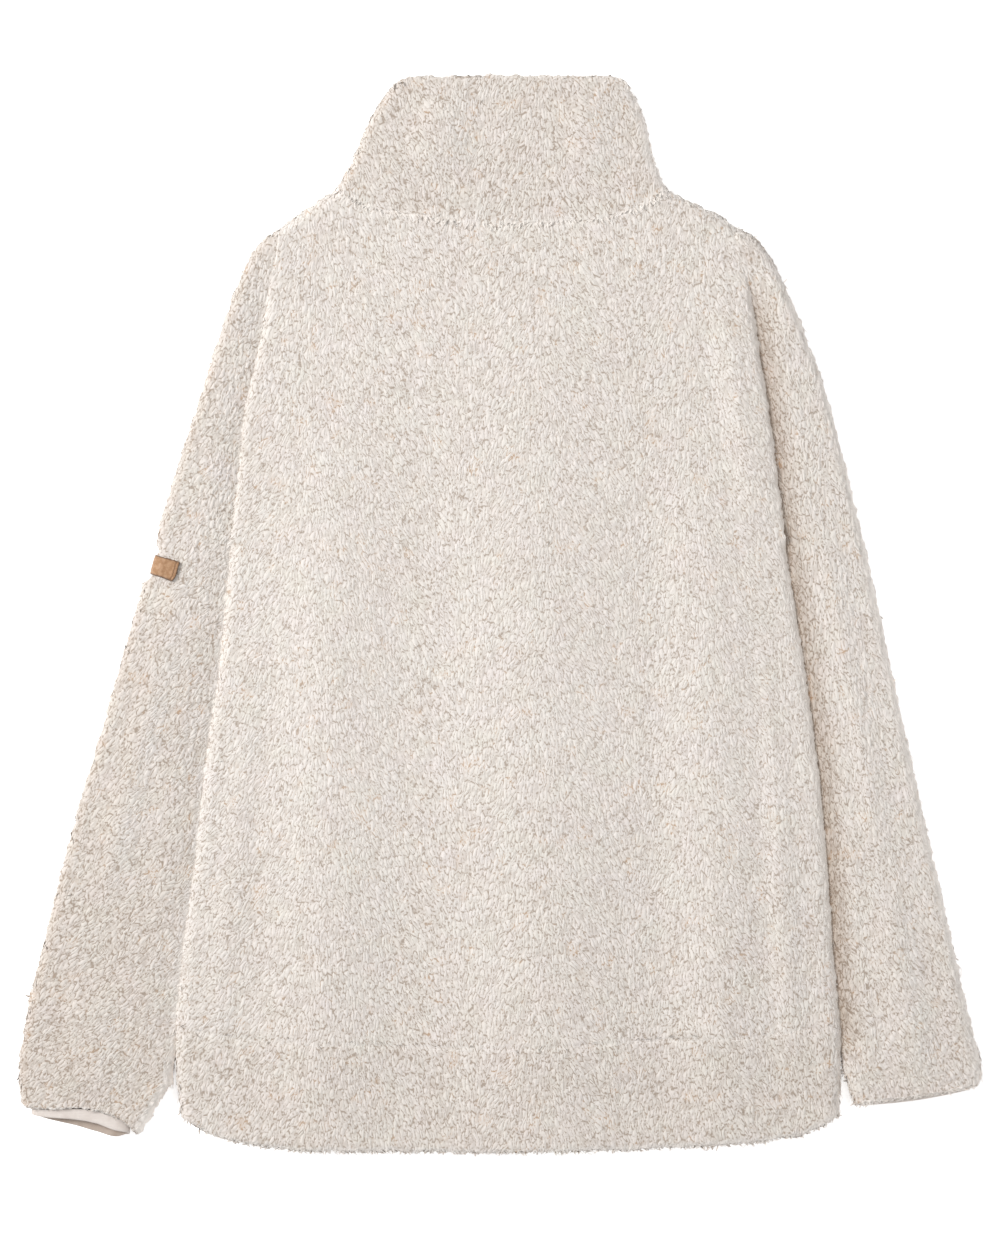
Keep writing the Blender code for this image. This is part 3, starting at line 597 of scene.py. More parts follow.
def locks(plan, rng):
    """Curled locks that grow on one shell."""
    root, out, shade = lock_roots(plan, rng)
    count = len(root)
    way = comb(root, rng.normal(0, 0.45, count))
    outward = out * np.array([1, 1, 0]) * np.clip(1 - np.abs(out[:, 2:]), 0, 1)
    way = way - out * np.sum(way * out, axis=1, keepdims=True) + outward * plan.out
    way /= np.maximum(np.linalg.norm(way, axis=1, keepdims=True), 1e-9)
    side = np.cross(out, way)
    side /= np.maximum(np.linalg.norm(side, axis=1, keepdims=True), 1e-9)
    long = LOCK_LONG * rng.uniform(0.55, 1.15, count)[:, None]
    wide = LOCK_WIDE * rng.uniform(0.7, 1.3, count)[:, None]
    bend = rng.uniform(-0.6, 0.6, count)[:, None]
    rise = LOCK_RISE * rng.uniform(0.3, 1.2, count)[:, None]
    root = root - out * 0.5 * MM
    rings = []
    for part, taper in zip(LOCK_PARTS, LOCK_TAPER):
        spine = root + way * long * part + side * long * bend * part ** 2
        spine = spine + out * rise * math.sin(math.pi * (0.15 + 0.8 * part))
        spine[:, 2] = np.maximum(spine[:, 2], 2 * MM)
        if taper:
            half = side * wide * taper / 2
            rings += [spine - half, spine + out * wide * taper * 0.2, spine + half]
        else:
            rings.append(spine)
    verts = np.stack(rings, axis=1)
    per = verts.shape[1]
    base = np.arange(count)[:, None] * per
    faces = []
    for a in (0, 3):
        faces += [(a, a + 1, a + 4), (a, a + 4, a + 3), (a + 1, a + 2, a + 5), (a + 1, a + 5, a + 4)]
    faces += [(6, 7, 9), (7, 8, 9)]
    faces = np.array(faces)[:, ::-1]
    index = (base[:, :, None] + faces[None]).reshape(-1, 3)
    tone = np.tile([0.5, 0.7, 0.5, 0.7, 0.8, 0.7, 0.75, 0.8, 0.75, 0.8], count)
    tone = tone + np.repeat(rng.normal(0, 0.06, count), per)
    name = plan.surface.replace("shell", "locks")
    return mesh_object(name, verts.reshape(-1, 3), index, tone, np.repeat(shade, per))


def linked(name, data):
    """A new object in the scene."""
    made = bpy.data.objects.new(name, data)
    bpy.context.scene.collection.objects.link(made)
    return made


def store(mesh, values):
    """Keep named values at each point of a mesh."""
    for label, value in values.items():
        made = mesh.attributes.new(label, "FLOAT", "POINT")
        made.data.foreach_set("value", np.asarray(value, np.float32).reshape(-1))


def mesh_object(name, verts, faces, tone, shade):
    """A mesh from arrays, with the pile's height and shade stored at each point."""
    sides = faces.shape[1]
    mesh = bpy.data.meshes.new(name)
    mesh.vertices.add(len(verts))
    mesh.vertices.foreach_set("co", verts.reshape(-1))
    mesh.loops.add(faces.size)
    mesh.loops.foreach_set("vertex_index", faces.reshape(-1).astype(np.int32))
    mesh.polygons.add(len(faces))
    mesh.polygons.foreach_set("loop_start", np.arange(0, faces.size, sides, dtype=np.int32))
    store(mesh, {"pile": tone, "shade": shade})
    mesh.update(calc_edges=True)
    mesh.shade_smooth()
    return linked(name, mesh)


def body_plan(u, v, low, high, sides):
    """Plan points between two cross edges, from one side line (u = 0) to another (u = 1)."""
    found = []
    for which, k in zip(sides, (0, -1)):
        start = low[k].y * MM
        found.append(panel_side(which, start + (high[k].y * MM - start) * v))
    x0, x1 = found
    x = x0 + (x1 - x0) * u
    y0 = edge_y(low, x[0]) + SEAM_GAP / 2
    y1 = edge_y(high, x[-1]) - SEAM_GAP / 2
    return x, y0 + (y1 - y0) * v


def panel_side(which, y):
    """Place of a panel's edge at a height: a side of the body, or a front edge at the zip."""
    if which in ("left", "right"):
        return side_x(which, y)
    sign = -1 if which == "zip_left" else 1
    return np.full(np.shape(y), ZIP_X + sign * ZIP_GAP / 2)


def row_shares():
    """Dense shares across a piece, closer together at both ends."""
    return (1 - np.cos(np.linspace(0, math.pi, SAMPLES))) / 2


def add_return(outer, inner, rim):
    """Join the inner side, as far as it shows, to the outer side round an open rim at row 0."""
    outer, inner = round_rim(outer, inner, rim)
    keep = int(np.searchsorted(np.median(rim, axis=1), RETURN))
    return np.concatenate([inner[keep:0:-1], outer], axis=0)


def reach_over(points):
    """Let the pile at the body's sides lean out over the sleeves."""
    x, y = points[..., 0], points[..., 1]
    out = np.zeros(x.shape)
    for which, sign in (("left", -1), ("right", 1)):
        away = np.abs(x - side_x(which, y))
        out += sign * PUSH * (1 - smoothstep(away / PUSH_WIDE)) * window(y, -350 * MM, 275 * MM)
    points[..., 0] += out
    return points


def turned_down(edge, x_shift, y_shift, steps=((0.55, 0.05), (0.9, 0.2), (1.0, 0.6), (0.9, 1.0))):
    """Rows that carry an edge on, out and down towards the middle of the garment."""
    made = []
    high = np.clip(np.abs(edge[..., 2] - MIDDLE) / HALF, 0, 1)
    for out, down in steps:
        row = edge.copy()
        row[..., 0] += x_shift * out * high
        row[..., 1] += y_shift * out * high
        row[..., 2] += (MIDDLE - row[..., 2]) * down
        made.append(row)
    return made


def panel(low, high, sides, upper, rows, step, rim):
    """One body panel's shell, with its cross edges and armhole edges turned down."""
    u, v = np.meshgrid(row_shares(), rows)
    x, y = body_plan(u, v, low, high, sides)
    outer, inner = layer(x, y, upper)
    outer = grid(x, y, outer)
    inner = grid(x, y, inner)
    if upper:
        outer = reach_over(outer)
    if rim:
        outer = add_return(outer, inner, y - y[0])
    else:
        outer = np.concatenate([np.stack(turned_down(outer[0], 0, -SEAM_REACH)[::-1]), outer])
    outer = np.concatenate([outer, np.stack(turned_down(outer[-1], 0, SEAM_REACH))])
    above = smoothstep((outer[:, 0, 1] - UNDERARM_Y - 5 * MM) / (80 * MM))
    reach = SEAM_REACH * above if upper else 0.0
    left = np.stack(turned_down(outer[:, 0], -reach, 0)[::-1], axis=1)
    right = np.stack(turned_down(outer[:, -1], reach, 0), axis=1)
    outer = np.concatenate([left, outer, right], axis=1)
    return even_rows(outer, step)


def build_panel(name):
    """The shell of a body panel, or of the hem band below it."""
    hem = name.startswith("hem_")
    upper = name.endswith("back")
    step = STEP if upper else STEP_UNDER
    neck = SHOULDERS_AND_NECK if upper else FRONT_NECK
    low, high = (HEM_EDGE, HEM_SEAM) if hem else (HEM_SEAM, neck)
    rows = stations(HEM_LONG, step, RIM_STEPS) if hem else stations(BODY_LONG, step, (), ROUND_STEPS)
    points = panel(low, high, PANEL_SIDES[name.replace("hem_", "")], upper, rows, step, hem)
    return shell(name + "_shell", points, seams=HEM_SEAMS if hem or upper else FRONT_SEAMS)


def sleeve_edges(table, which, share):
    keys = np.linspace(0, 1, len(table))
    sign = -1 if which == "left" else 1
    outer_x = smooth_read(keys, [ring.outer_x * MM for ring in table], share)
    outer_y = smooth_read(keys, [ring.outer_y * MM for ring in table], share)
    inner_y = np.interp(share, keys, [ring.inner_y * MM for ring in table])
    away = np.interp(share, keys, [ring.inner_out * MM for ring in table])
    inner_x = side_x(which, inner_y) + sign * (ARM_GAP + away)
    return outer_x + sign * ARM_GAP, outer_y, inner_x, inner_y


def cuff_bow(which, u):
    """How far the cuff's edge arches towards the elbow."""
    if which == "left":
        return CUFF_BOW_LEFT * 6.75 * u * (1 - u) ** 2
    return CUFF_BOW_RIGHT * 4 * u * (1 - u)


def sleeve_plan(table, which, u, share):
    outer_x, outer_y, inner_x, inner_y = sleeve_edges(table, which, share)
    x = inner_x + (outer_x - inner_x) * u
    y = inner_y + (outer_y - inner_y) * u
    sign = -1 if which == "left" else 1
    first = sleeve_edges(table, which, np.zeros(1))
    seam_y = first[3] + (first[1] - first[3]) * u
    chord = first[2] + (first[0] - first[2]) * u
    bow = side_x(which, seam_y) + sign * ARM_GAP - chord
    x = x + bow * np.clip(1 - share / SEAM_BOW_FADE, 0, 1) ** 2
    return x, y + cuff_bow(which, u) * smoothstep((share - 0.8) / 0.2)


def sleeve_lines(table, which):
    shares = np.linspace(0, 1, 45)
    outer_x, outer_y, inner_x, inner_y = sleeve_edges(table, which, shares)
    return [list(zip(outer_x, outer_y)), list(zip(inner_x, inner_y))]


def tube_skin(table, which, shares, inset, depth, lines):
    u, v = np.meshgrid(row_shares(), shares)
    outer_x, outer_y, inner_x, inner_y = sleeve_edges(table, which, v)
    trim = inset / np.hypot(outer_x - inner_x, outer_y - inner_y)
    x, y = sleeve_plan(table, which, trim + (1 - 2 * trim) * u, v)
    distance = nearest(x, y, lines)
    bulge = round_over(np.clip(distance - inset * 0.8, 0, None), depth) * depth
    kept = 1 - pressed(which, x, y)
    top = grid(x, y, MIDDLE + (bulge + lift(x, y, distance)) * kept)
    under = grid(x, y, MIDDLE - bulge)
    return np.concatenate([top, under[:, -2:0:-1]], axis=1)


def pinched(points):
    """Pull the outer fold of the left sleeve in where the label is wrapped tight round it."""
    outer_x, outer_y = sleeve_edges(LEFT_SLEEVE, "left", np.linspace(0, 1, 90))[:2]
    away = points[..., 0] - np.interp(points[..., 1], outer_y[::-1], outer_x[::-1])
    high = points[..., 1] - LABEL_Y
    near = (1 - smoothstep((high - 9 * MM) / (14 * MM))) * (1 - smoothstep((-high - 8 * MM) / (7 * MM)))
    points[..., 0] += LABEL_PINCH * near * (1 - smoothstep((away - 8 * MM) / (36 * MM)))
    return points


def lean_in(points, which):
    """Let the pile at the sleeve's inner side lean out over the body's."""
    x, y, z = points[..., 0], points[..., 1], points[..., 2]
    sign = 1 if which == "left" else -1
    away = np.abs(x - side_x(which, y))
    ends = window(y, -330 * MM, UNDERARM_Y + 10 * MM)
    kept = 1 - pressed(which, side_x(which, y), y)
    points[..., 0] += sign * PUSH * kept * (1 - smoothstep(away / PUSH_WIDE)) * ends * (z > MIDDLE)
    return points


def build_sleeve(which):
    table = LEFT_SLEEVE if which == "left" else RIGHT_SLEEVE
    shares = 1 - stations(SLEEVE_LONG, STEP_RIM, RIM_STEPS)
    lines = sleeve_lines(table, which)
    outer = tube_skin(table, which, shares, 0.0, HALF, lines)
    inner = tube_skin(table, which, shares, PILE_WALL, SLOT / 2, lines)
    rim = np.broadcast_to(((1 - shares) * SLEEVE_LONG)[:, None], outer.shape[:2])
    outer = lean_in(outer, which)
    points = add_return(outer, inner, rim)
    sign = 1 if which == "left" else -1
    skirt = turned_down(points[-1], sign * SKIRT, 0, ((0.5, 0.3), (0.8, 0.6), (1.0, 0.9)))
    points = np.concatenate([points, np.stack(skirt)])
    loop = np.concatenate([points, points[:, :1]], axis=1)
    points = even_rows(loop, STEP_SLEEVE)[:, :-1]
    if which == "left":
        points = pinched(points)
    return shell("sleeve_" + which + "_shell", points, closed=True)


def collar_skin(rows, inset, depth, lines):
    half = np.linspace(0, 1, SAMPLES // 2)
    gap = ZIP_GAP / 2
    parts = []
    rims = []
    for side in ("left", "top", "right"):
        shares = {"left": half, "top": row_shares(), "right": half[::-1]}[side]
        u, v = np.meshgrid(shares, rows)
        left = collar_x("left", v) + inset
        right = collar_x("right", v) - inset
        if side == "top":
            start, stop, high, low = left, right, COLLAR_TOP, SHOULDERS_AND_NECK
        else:
            start = np.full(v.shape, ZIP_X + (-gap if side == "left" else gap))
            stop = left if side == "left" else right
            high, low = COLLAR_FRONT_TOP, FRONT_NECK
        x = start + (stop - start) * u
        y0 = edge_y(low, x[-1]) + SEAM_GAP / 2
        y1 = edge_y(high, x[0])
        y = y0 + (y1 - y0) * v
        distance = nearest(x, y, lines)
        bulge = round_over(np.clip(distance - inset, 0, None), depth) * depth
        z = MIDDLE + bulge + lift(x, y, distance) if side == "top" else MIDDLE - bulge
        parts.append(grid(x, y, z))
        rims.append(np.broadcast_to(y[0], y.shape) - y)
    points = np.concatenate([parts[0][:, :-1], parts[1], parts[2][:, 1:]], axis=1)
    return points, np.concatenate([rims[0][:, :-1], rims[1], rims[2][:, 1:]], axis=1)


def build_collar():
    rows = 1 - stations(COLLAR_LONG, STEP_RIM, RIM_STEPS)
    lines = (collar_line("left"), collar_line("right"))
    outer, rim = collar_skin(rows, 0.0, HALF, lines)
    inner = collar_skin(rows, PILE_WALL, SLOT / 2, lines)[0]
    points = add_return(outer, inner, rim)
    points = np.concatenate([points, np.stack(turned_down(points[-1], 0, -SEAM_REACH))])
    return shell("collar_shell", even_rows(points, STEP_COLLAR))


def simple_mesh(name, verts, faces, smooth=True, **stored):
    """A mesh from plain lists, with a stored value for each point."""
    mesh = bpy.data.meshes.new(name)
    mesh.from_pydata([tuple(v) for v in verts], [], [tuple(int(k) for k in f) for f in faces])
    store(mesh, stored)
    if smooth:
        mesh.shade_smooth()
    work = bmesh.new()
    work.from_mesh(mesh)
    bmesh.ops.remove_doubles(work, verts=work.verts, dist=1e-6)
    bmesh.ops.recalc_face_normals(work, faces=work.faces)
    work.to_mesh(mesh)
    work.free()
    return linked(name, mesh)


def loop_faces(rows, columns):
    """Quads of a grid that closes on itself across each row."""
    index = np.arange(rows * columns).reshape(rows, columns)
    turned = np.roll(index, -1, axis=1)
    return np.stack([index[:-1], turned[:-1], turned[1:], index[1:]], axis=-1).reshape(-1, 4)


def label_place(along, reach, radius):
    """Points of the leather patch: along the sleeve, and round its outer fold onto the top side."""
    line = sleeve_lines(LEFT_SLEEVE, "left")[0]
    xs = np.array([p[0] for p in line])[::-1]
    ys = np.array([p[1] for p in line])[::-1]
    y = LABEL_Y + LABEL_LONG * along
    x = np.interp(y, ys, xs)
    ends = LABEL_Y + LABEL_LONG * np.array([-0.5, 0.5])
    slope = float(np.diff(np.interp(ends, ys, xs))[0] / LABEL_LONG)
    out = np.array([-1, slope]) / math.hypot(1, slope)
    bend = (math.pi / 2 - LABEL_UNDER) * HALF
    turn = LABEL_UNDER + np.clip(reach, 0, bend) / HALF
    flat = np.clip(reach - bend, 0, None)
    side = -HALF + radius * np.cos(turn) - flat
    points = grid(x + side * out[0], y + side * out[1], MIDDLE + radius * np.sin(turn))
    distance = distance_to(points[..., 0], points[..., 1], line)
    points[..., 2] += lift(points[..., 0], points[..., 1], distance + LABEL_SLACK)
    return pinched(points)


def label_reach():
    return (math.pi / 2 - LABEL_UNDER) * HALF + LABEL_FLAT - HALF


def build_label():
    """Bare leather patch with rounded cut edges and a sunk stitch line near each short edge."""
    total = label_reach()
    along = np.linspace(-0.5, 0.5, 49)
    reach = np.linspace(0, total, 91)
    r, a = np.meshgrid(reach, along)
    rough = 0.25 * MM * soft_noise(grid(r, a * LABEL_LONG, r * 0), 1.6 * MM, 8)
    border = np.minimum(np.minimum(r, total - r), (0.5 - np.abs(a)) * LABEL_LONG)
    thick = round_over(border, 0.5 * MM) * LABEL_THICK / 2
    seam = np.minimum(np.abs(r - LABEL_SEAM), np.abs(total - LABEL_SEAM - r))
    sunk = 0.35 * MM * (1 - smoothstep(seam / (0.9 * MM)))
    pillow = 0.25 * MM * smoothstep(border / (4 * MM))
    middle = HALF + LABEL_GAP + LABEL_THICK / 2
    fade = 1 - smoothstep(border / (1.5 * MM))
    a = a + rough * fade * np.sign(a) / LABEL_LONG
    outer = label_place(a, r, middle + thick - sunk + pillow)
    inner = label_place(a, r, middle - thick)
    points = np.concatenate([outer, inner[:, ::-1]], axis=1)
    # distance to the patch's border, which the leather paints as shade near the cut edges
    wear_and_edge_shade = np.concatenate([border, border[:, ::-1]], axis=1)
    line = np.concatenate([seam, seam[:, ::-1]], axis=1)
    faces = loop_faces(points.shape[0], points.shape[1])
    return simple_mesh("label_patch", points.reshape(-1, 3), faces, edge=wear_and_edge_shade / MM, seam=line / MM)


def build_label_stitches():
    """Short thread stitches in the sunk lines of the patch."""
    verts = []
    faces = []
    middle = HALF + LABEL_GAP + LABEL_THICK
    rings = 7
    sides = 6
    for reach in (LABEL_SEAM, label_reach() - LABEL_SEAM):
        for k in range(LABEL_STITCHES):
            centre = (k + 0.5) / LABEL_STITCHES - 0.5
            first = len(verts)
            for part in np.linspace(-1, 1, rings):
                swell = math.sqrt(max(0.0, 1 - part ** 2)) * 0.28 * MM
                at = centre + part * 0.98 * MM / LABEL_LONG
                for angle in np.linspace(0, 2 * math.pi, sides + 1)[:-1]:
                    side = reach + swell * math.cos(angle)
                    up = middle - 0.22 * MM + 0.25 * MM * (1 - part ** 2) + swell * math.sin(angle)
                    verts.append(label_place(np.array([at]), np.array([side]), up)[0])
            faces += (loop_faces(rings, sides) + first).tolist()
    return simple_mesh("label_stitches", verts, faces)


def build_binding(which):
    """Smooth band round the mouth of a cuff, which gapes a little."""
    table = LEFT_SLEEVE if which == "left" else RIGHT_SLEEVE
    columns = stations(CUFF_WIDE, 1.2 * MM, (0.0, 0.3 * MM, 1 * MM), (0.0, 0.3 * MM, 1 * MM))
    x, y = sleeve_plan(table, which, 0.08 + 0.84 * columns, np.ones(len(columns)))
    ends = np.minimum(columns, 1 - columns)
    bulge = round_over(ends, 0.14)
    keys = [band.share for band in BANDS[which]]
    near = smooth_read(keys, [band.near * MM for band in BANDS[which]], columns)
    far = smooth_read(keys, [band.far * MM for band in BANDS[which]], columns)
    parts = stations(BAND_DEEP, 0.7 * MM, (), (0.0, 0.1 * MM, 0.35 * MM, 0.7 * MM))
    skins = []
    for sign in (1, -1):
        rows = []
        for part in parts:
            round_lip = round_over((1 - part) * BAND_DEEP, BIND_WALL / 2)
            depth = BIND_SLOT / 2 + BIND_WALL / 2 * (1 + sign * round_lip)
            shrink = BIND_WALL / 2 * (1 - sign * round_lip)
            px = x + np.sign(x.mean() - x) * shrink * (1 - smoothstep(ends / 0.1))
            above = grid(px, y - SEAM_GAP - near * part, MIDDLE + bulge * depth)
            below = grid(px, y - SEAM_GAP - far * part, MIDDLE - bulge * depth)
            rows.append(np.concatenate([above, below[-2:0:-1]], axis=0))
        skins.append(rows)
    points = np.array(skins[0] + skins[1][-2::-1])
    inside = np.zeros(points.shape[:2])
    inside[len(parts):] = 1.0
    faces = loop_faces(points.shape[0], points.shape[1])
    name = "cuff_binding_" + which + "_band"
    return simple_mesh(name, points.reshape(-1, 3), faces, inside=inside)


def build_teeth():
    """Moulded teeth of the zip in two rows, each row on its own cord."""
    top = ZIP_TOP - SLIDER_LONG - 2 * SEAM_GAP
    high = TAPE_HEIGHT - SEAM_GAP
    verts = []
    faces = []
    count = int((top - ZIP_LOW - TOOTH_PITCH) / (TOOTH_PITCH / 2))
    for k in range(count):
        sign = -1 if k % 2 else 1
        y = ZIP_LOW + TOOTH_PITCH / 2 + k * TOOTH_PITCH / 2
        first = len(verts)
        for z, inset in ((CHAIN_HEIGHT, 0.3 * MM), (CHAIN_HEIGHT + 0.35 * MM, 0.0), (high, 0.0)):
            rim = [(x, -half) for x, half in TOOTH] + list(TOOTH[::-1])
            for x, half in rim:
                at = ZIP_X + sign * (x * MM + (inset if x < 0 else -inset if x > 2 else 0))
                verts.append((at, y + (half * MM - math.copysign(inset * 0.5, half)), z))
        faces += (loop_faces(3, 8) + first).tolist()
        faces += [[first + n for n in f] for f in ((0, 1, 6, 7), (1, 2, 5, 6), (2, 3, 4, 5))]
    for sign in (-1, 1):
        heights = np.arange(ZIP_LOW, top, TOOTH_PITCH / 3)
        swell = 1 + 0.16 * np.sin(np.arange(len(heights)) * 2.1)
        angle = np.linspace(0, 2 * math.pi, 8, endpoint=False)
        x = ZIP_X + sign * 2.3 * MM + 0.55 * MM * np.cos(angle)[None] * swell[:, None]
        z = high - 0.65 * MM + 0.55 * MM * np.sin(angle)[None] * swell[:, None]
        first = len(verts)
        verts += [tuple(v) for v in grid(x, np.repeat(heights[:, None], 8, axis=1), z).reshape(-1, 3)]
        faces += (loop_faces(len(heights), 8) + first).tolist()
    return simple_mesh("zip_teeth", verts, faces, smooth=False)


def bevelled(node, name, width):
    """A copy of a CAD node with its sharp edges rounded."""
    source = bpy.data.objects[node]
    mesh = source.data.copy()
    work = bmesh.new()
    work.from_mesh(mesh)
    bmesh.ops.remove_doubles(work, verts=work.verts, dist=1e-6)
    bmesh.ops.dissolve_limit(work, angle_limit=math.radians(2), verts=work.verts, edges=work.edges)
    least = math.radians(35)
    sharp = [edge for edge in work.edges if edge.is_manifold and edge.calc_face_angle(0) > least]
    bmesh.ops.bevel(work, geom=sharp, offset=width, segments=3, affect="EDGES", clamp_overlap=True)
    bmesh.ops.triangulate(work, faces=[face for face in work.faces if len(face.verts) > 4])
    work.to_mesh(mesh)
    work.free()
    mesh.materials.clear()
    made = linked(name, mesh)
    made.matrix_world = source.matrix_world
    return made


class Paint:
    """A material being made. Its nodes read the place on the surface unless told otherwise."""

    def __init__(self, name, roughness):
        self.made = bpy.data.materials.new(name)
        self.made.use_nodes = True
        self.tree = self.made.node_tree
        self.shader = self.tree.nodes["Principled BSDF"]
        self.place = self.node("TexCoord").outputs["Object"]
        self.fill(self.shader, {"Roughness": roughness})

    def node(self, kind, **settings):
        """Add one shader node and set its options."""
        made = self.tree.nodes.new("ShaderNode" + kind)
        for key, value in settings.items():
            setattr(made, key, value)
        return made

    def plug(self, slot, value):
        """Put a socket, a number, a vector or a colour on an input."""
        if isinstance(value, bpy.types.NodeSocket):
            self.tree.links.new(value, slot)
        elif slot.type == "RGBA":
            slot.default_value = (*value, 1)
        else:
            slot.default_value = value

    def fill(self, node, values):
        for label, value in values.items():
            self.plug(node.inputs[label], value)
        return node

    def stored(self, name):
        return self.node("Attribute", attribute_name=name).outputs["Fac"]

    def split(self, value):
        """The parts of a vector or of a colour."""
        made = self.node("SeparateXYZ")
        self.plug(made.inputs[0], value)
        return made.outputs

    def maths(self, operation, first, second, kind="Math"):
        made = self.node(kind, operation=operation)
        self.plug(made.inputs[0], first)
        self.plug(made.inputs[1], second)
        return made.outputs[0]

    def times(self, first, second):
        return self.maths("MULTIPLY", first, second)

    def plus(self, first, second):
        return self.maths("ADD", first, second)

    def noise(self, scale, detail=2.0, output="Fac", place=None):
        values = {"Scale": scale, "Detail": detail, "Vector": self.place if place is None else place}
        return self.fill(self.node("TexNoise"), values).outputs[output]

    def wave(self, direction, scale, distortion=0.0):
        made = self.node("TexWave", wave_type="BANDS", bands_direction=direction)
        values = {"Scale": scale, "Distortion": distortion, "Vector": self.place}
        return self.fill(made, values).outputs["Fac"]

    def ranged(self, value, low, high, to_low=0.0, to_high=1.0):
        """Read a value between two limits as a smooth step."""
        made = self.node("MapRange", interpolation_type="SMOOTHSTEP")
        self.fill(made, {"Value": value, "From Min": low, "From Max": high})
        return self.fill(made, {"To Min": to_low, "To Max": to_high}).outputs["Result"]

    def blend(self, factor, first, second, kind="MIX"):
        made = self.node("Mix", data_type="RGBA", blend_type=kind)
        return self.fill(made, {"Factor": factor, "A": first, "B": second}).outputs["Result"]

    def bent(self, place, scale, reach):
        """Move a place about by noise, up to half the reach each way."""
        push = self.noise(scale, 1.0, "Color", place)
        push = self.maths("SUBTRACT", push, (0.5, 0.5, 0.5), "VectorMath")
        push = self.maths("MULTIPLY", push, (reach, reach, reach), "VectorMath")
        return self.maths("ADD", place, push, "VectorMath")

    def cells(self, place, size, feature="F1"):
        """Scattered cells of the given size across, along and through."""
        scaled = self.maths("MULTIPLY", place, tuple(1 / s for s in size), "VectorMath")
        made = self.node("TexVoronoi", feature=feature)
        return self.fill(made, {"Scale": 1.0, "Vector": scaled}).outputs

    def finish(self, colour, relief, strength, distance):
        """Give the shader its colour and its bump."""
        bump = self.node("Bump")
        self.fill(bump, {"Strength": strength, "Distance": distance, "Height": relief})
        self.fill(self.shader, {"Base Color": colour, "Normal": bump.outputs["Normal"]})
        return self.made


def grain(paint, x):
    """Angle at which the pile lies, by its place across the garment."""
    ramp = paint.node("ValToRGB")
    paint.fill(ramp, {"Fac": paint.plus(paint.times(x, 1 / GRAIN_WIDE), 0.5)})
    stops = ramp.color_ramp.elements
    while len(stops) < len(GRAIN):
        stops.new(0.5)
    for stop, lie in zip(stops, GRAIN):
        level = 0.5 - lie.lean / 180
        stop.position = lie.x * MM / GRAIN_WIDE + 0.5
        stop.color = (level, level, level, 1)
    return paint.times(paint.maths("SUBTRACT", ramp.outputs["Color"], 0.5), math.pi)


def lying(paint, place, size, spread):
    """Turn a place clump by clump, so that the strands of each clump lie one way."""
    clumps = paint.cells(place, size)
    angle = grain(paint, paint.times(paint.split(clumps["Position"])["X"], size[0]))
    chance = paint.split(clumps["Color"])
    swing = paint.times(paint.maths("SUBTRACT", chance["X"], 0.5), spread)
    turn = paint.node("VectorRotate", rotation_type="Z_AXIS")
    paint.fill(turn, {"Vector": place, "Angle": paint.plus(angle, swing)})
    return turn.outputs["Vector"], chance["Y"]


def sherpa():
    """Curled pile: clumps of light wavy strands with painted shade in soft tan partings between them,
    and the stored painted shade and painted light over all.
    """
    paint = Paint("sherpa", 0.9)
    paint.fill(paint.shader, {"Specular IOR Level": 0.15, "Sheen Weight": 0.2, "Sheen Roughness": 0.6})
    shade = paint.stored("shade")
    wavy = paint.bent(paint.bent(paint.place, 60, 0.005), 260, 0.0013)
    laid, clump = lying(paint, wavy, CLUMP_SIZE, 0.45)
    # painted shade in the partings between strands, in a warm tan
    gap = paint.cells(laid, STRAND_SIZE, "DISTANCE_TO_EDGE")["Distance"]
    broken = paint.ranged(paint.noise(520, 1.0), 0.40, 0.60, 0.18, 1.0)
    lines = paint.times(paint.ranged(gap, 0.01, 0.15, 1.0, 0.0), broken)
    own = paint.split(paint.cells(laid, STRAND_SIZE)["Color"])["X"]
    tone = paint.plus(paint.times(own, 0.85), paint.times(clump, 0.15))
    light = paint.blend(tone, (0.62, 0.578, 0.536), (0.68, 0.638, 0.60))
    light = paint.blend(0.04, light, paint.blend(1.0, light, paint.noise(48, 2.0, "Color"), "OVERLAY"))
    tan = paint.ranged(paint.noise(75, 3.0), 0.56, 0.72)
    tan = paint.blend(tan, (0.345, 0.287, 0.24), (0.42, 0.30, 0.21))
    # painted shade in the hollows of the pile, where its stored height is low
    lines = paint.maths("MAXIMUM", lines, paint.ranged(paint.stored("pile"), 0.0, 0.3, 0.35, 0.0))
    # the partings painted deeper under painted shade and fainter under painted light
    lines = paint.times(lines, paint.plus(paint.times(shade, 0.7), 1.0))
    colour = paint.blend(paint.maths("MINIMUM", lines, 1.0), light, tan)
    # painted shade from the stored shade
    dim = paint.maths("MAXIMUM", paint.times(shade, 0.65), 0.0)
    colour = paint.blend(dim, colour, (0.61, 0.535, 0.47), "MULTIPLY")
    # painted light where the stored shade is below 0
    painted_light = paint.maths("MAXIMUM", paint.times(shade, -1.0), 0.0)
    colour = paint.blend(painted_light, colour, (0.92, 0.855, 0.795))
    relief = paint.plus(paint.ranged(gap, 0.0, 0.45), paint.times(tone, 0.5))
    return paint.finish(colour, relief, 0.45, 0.0007)


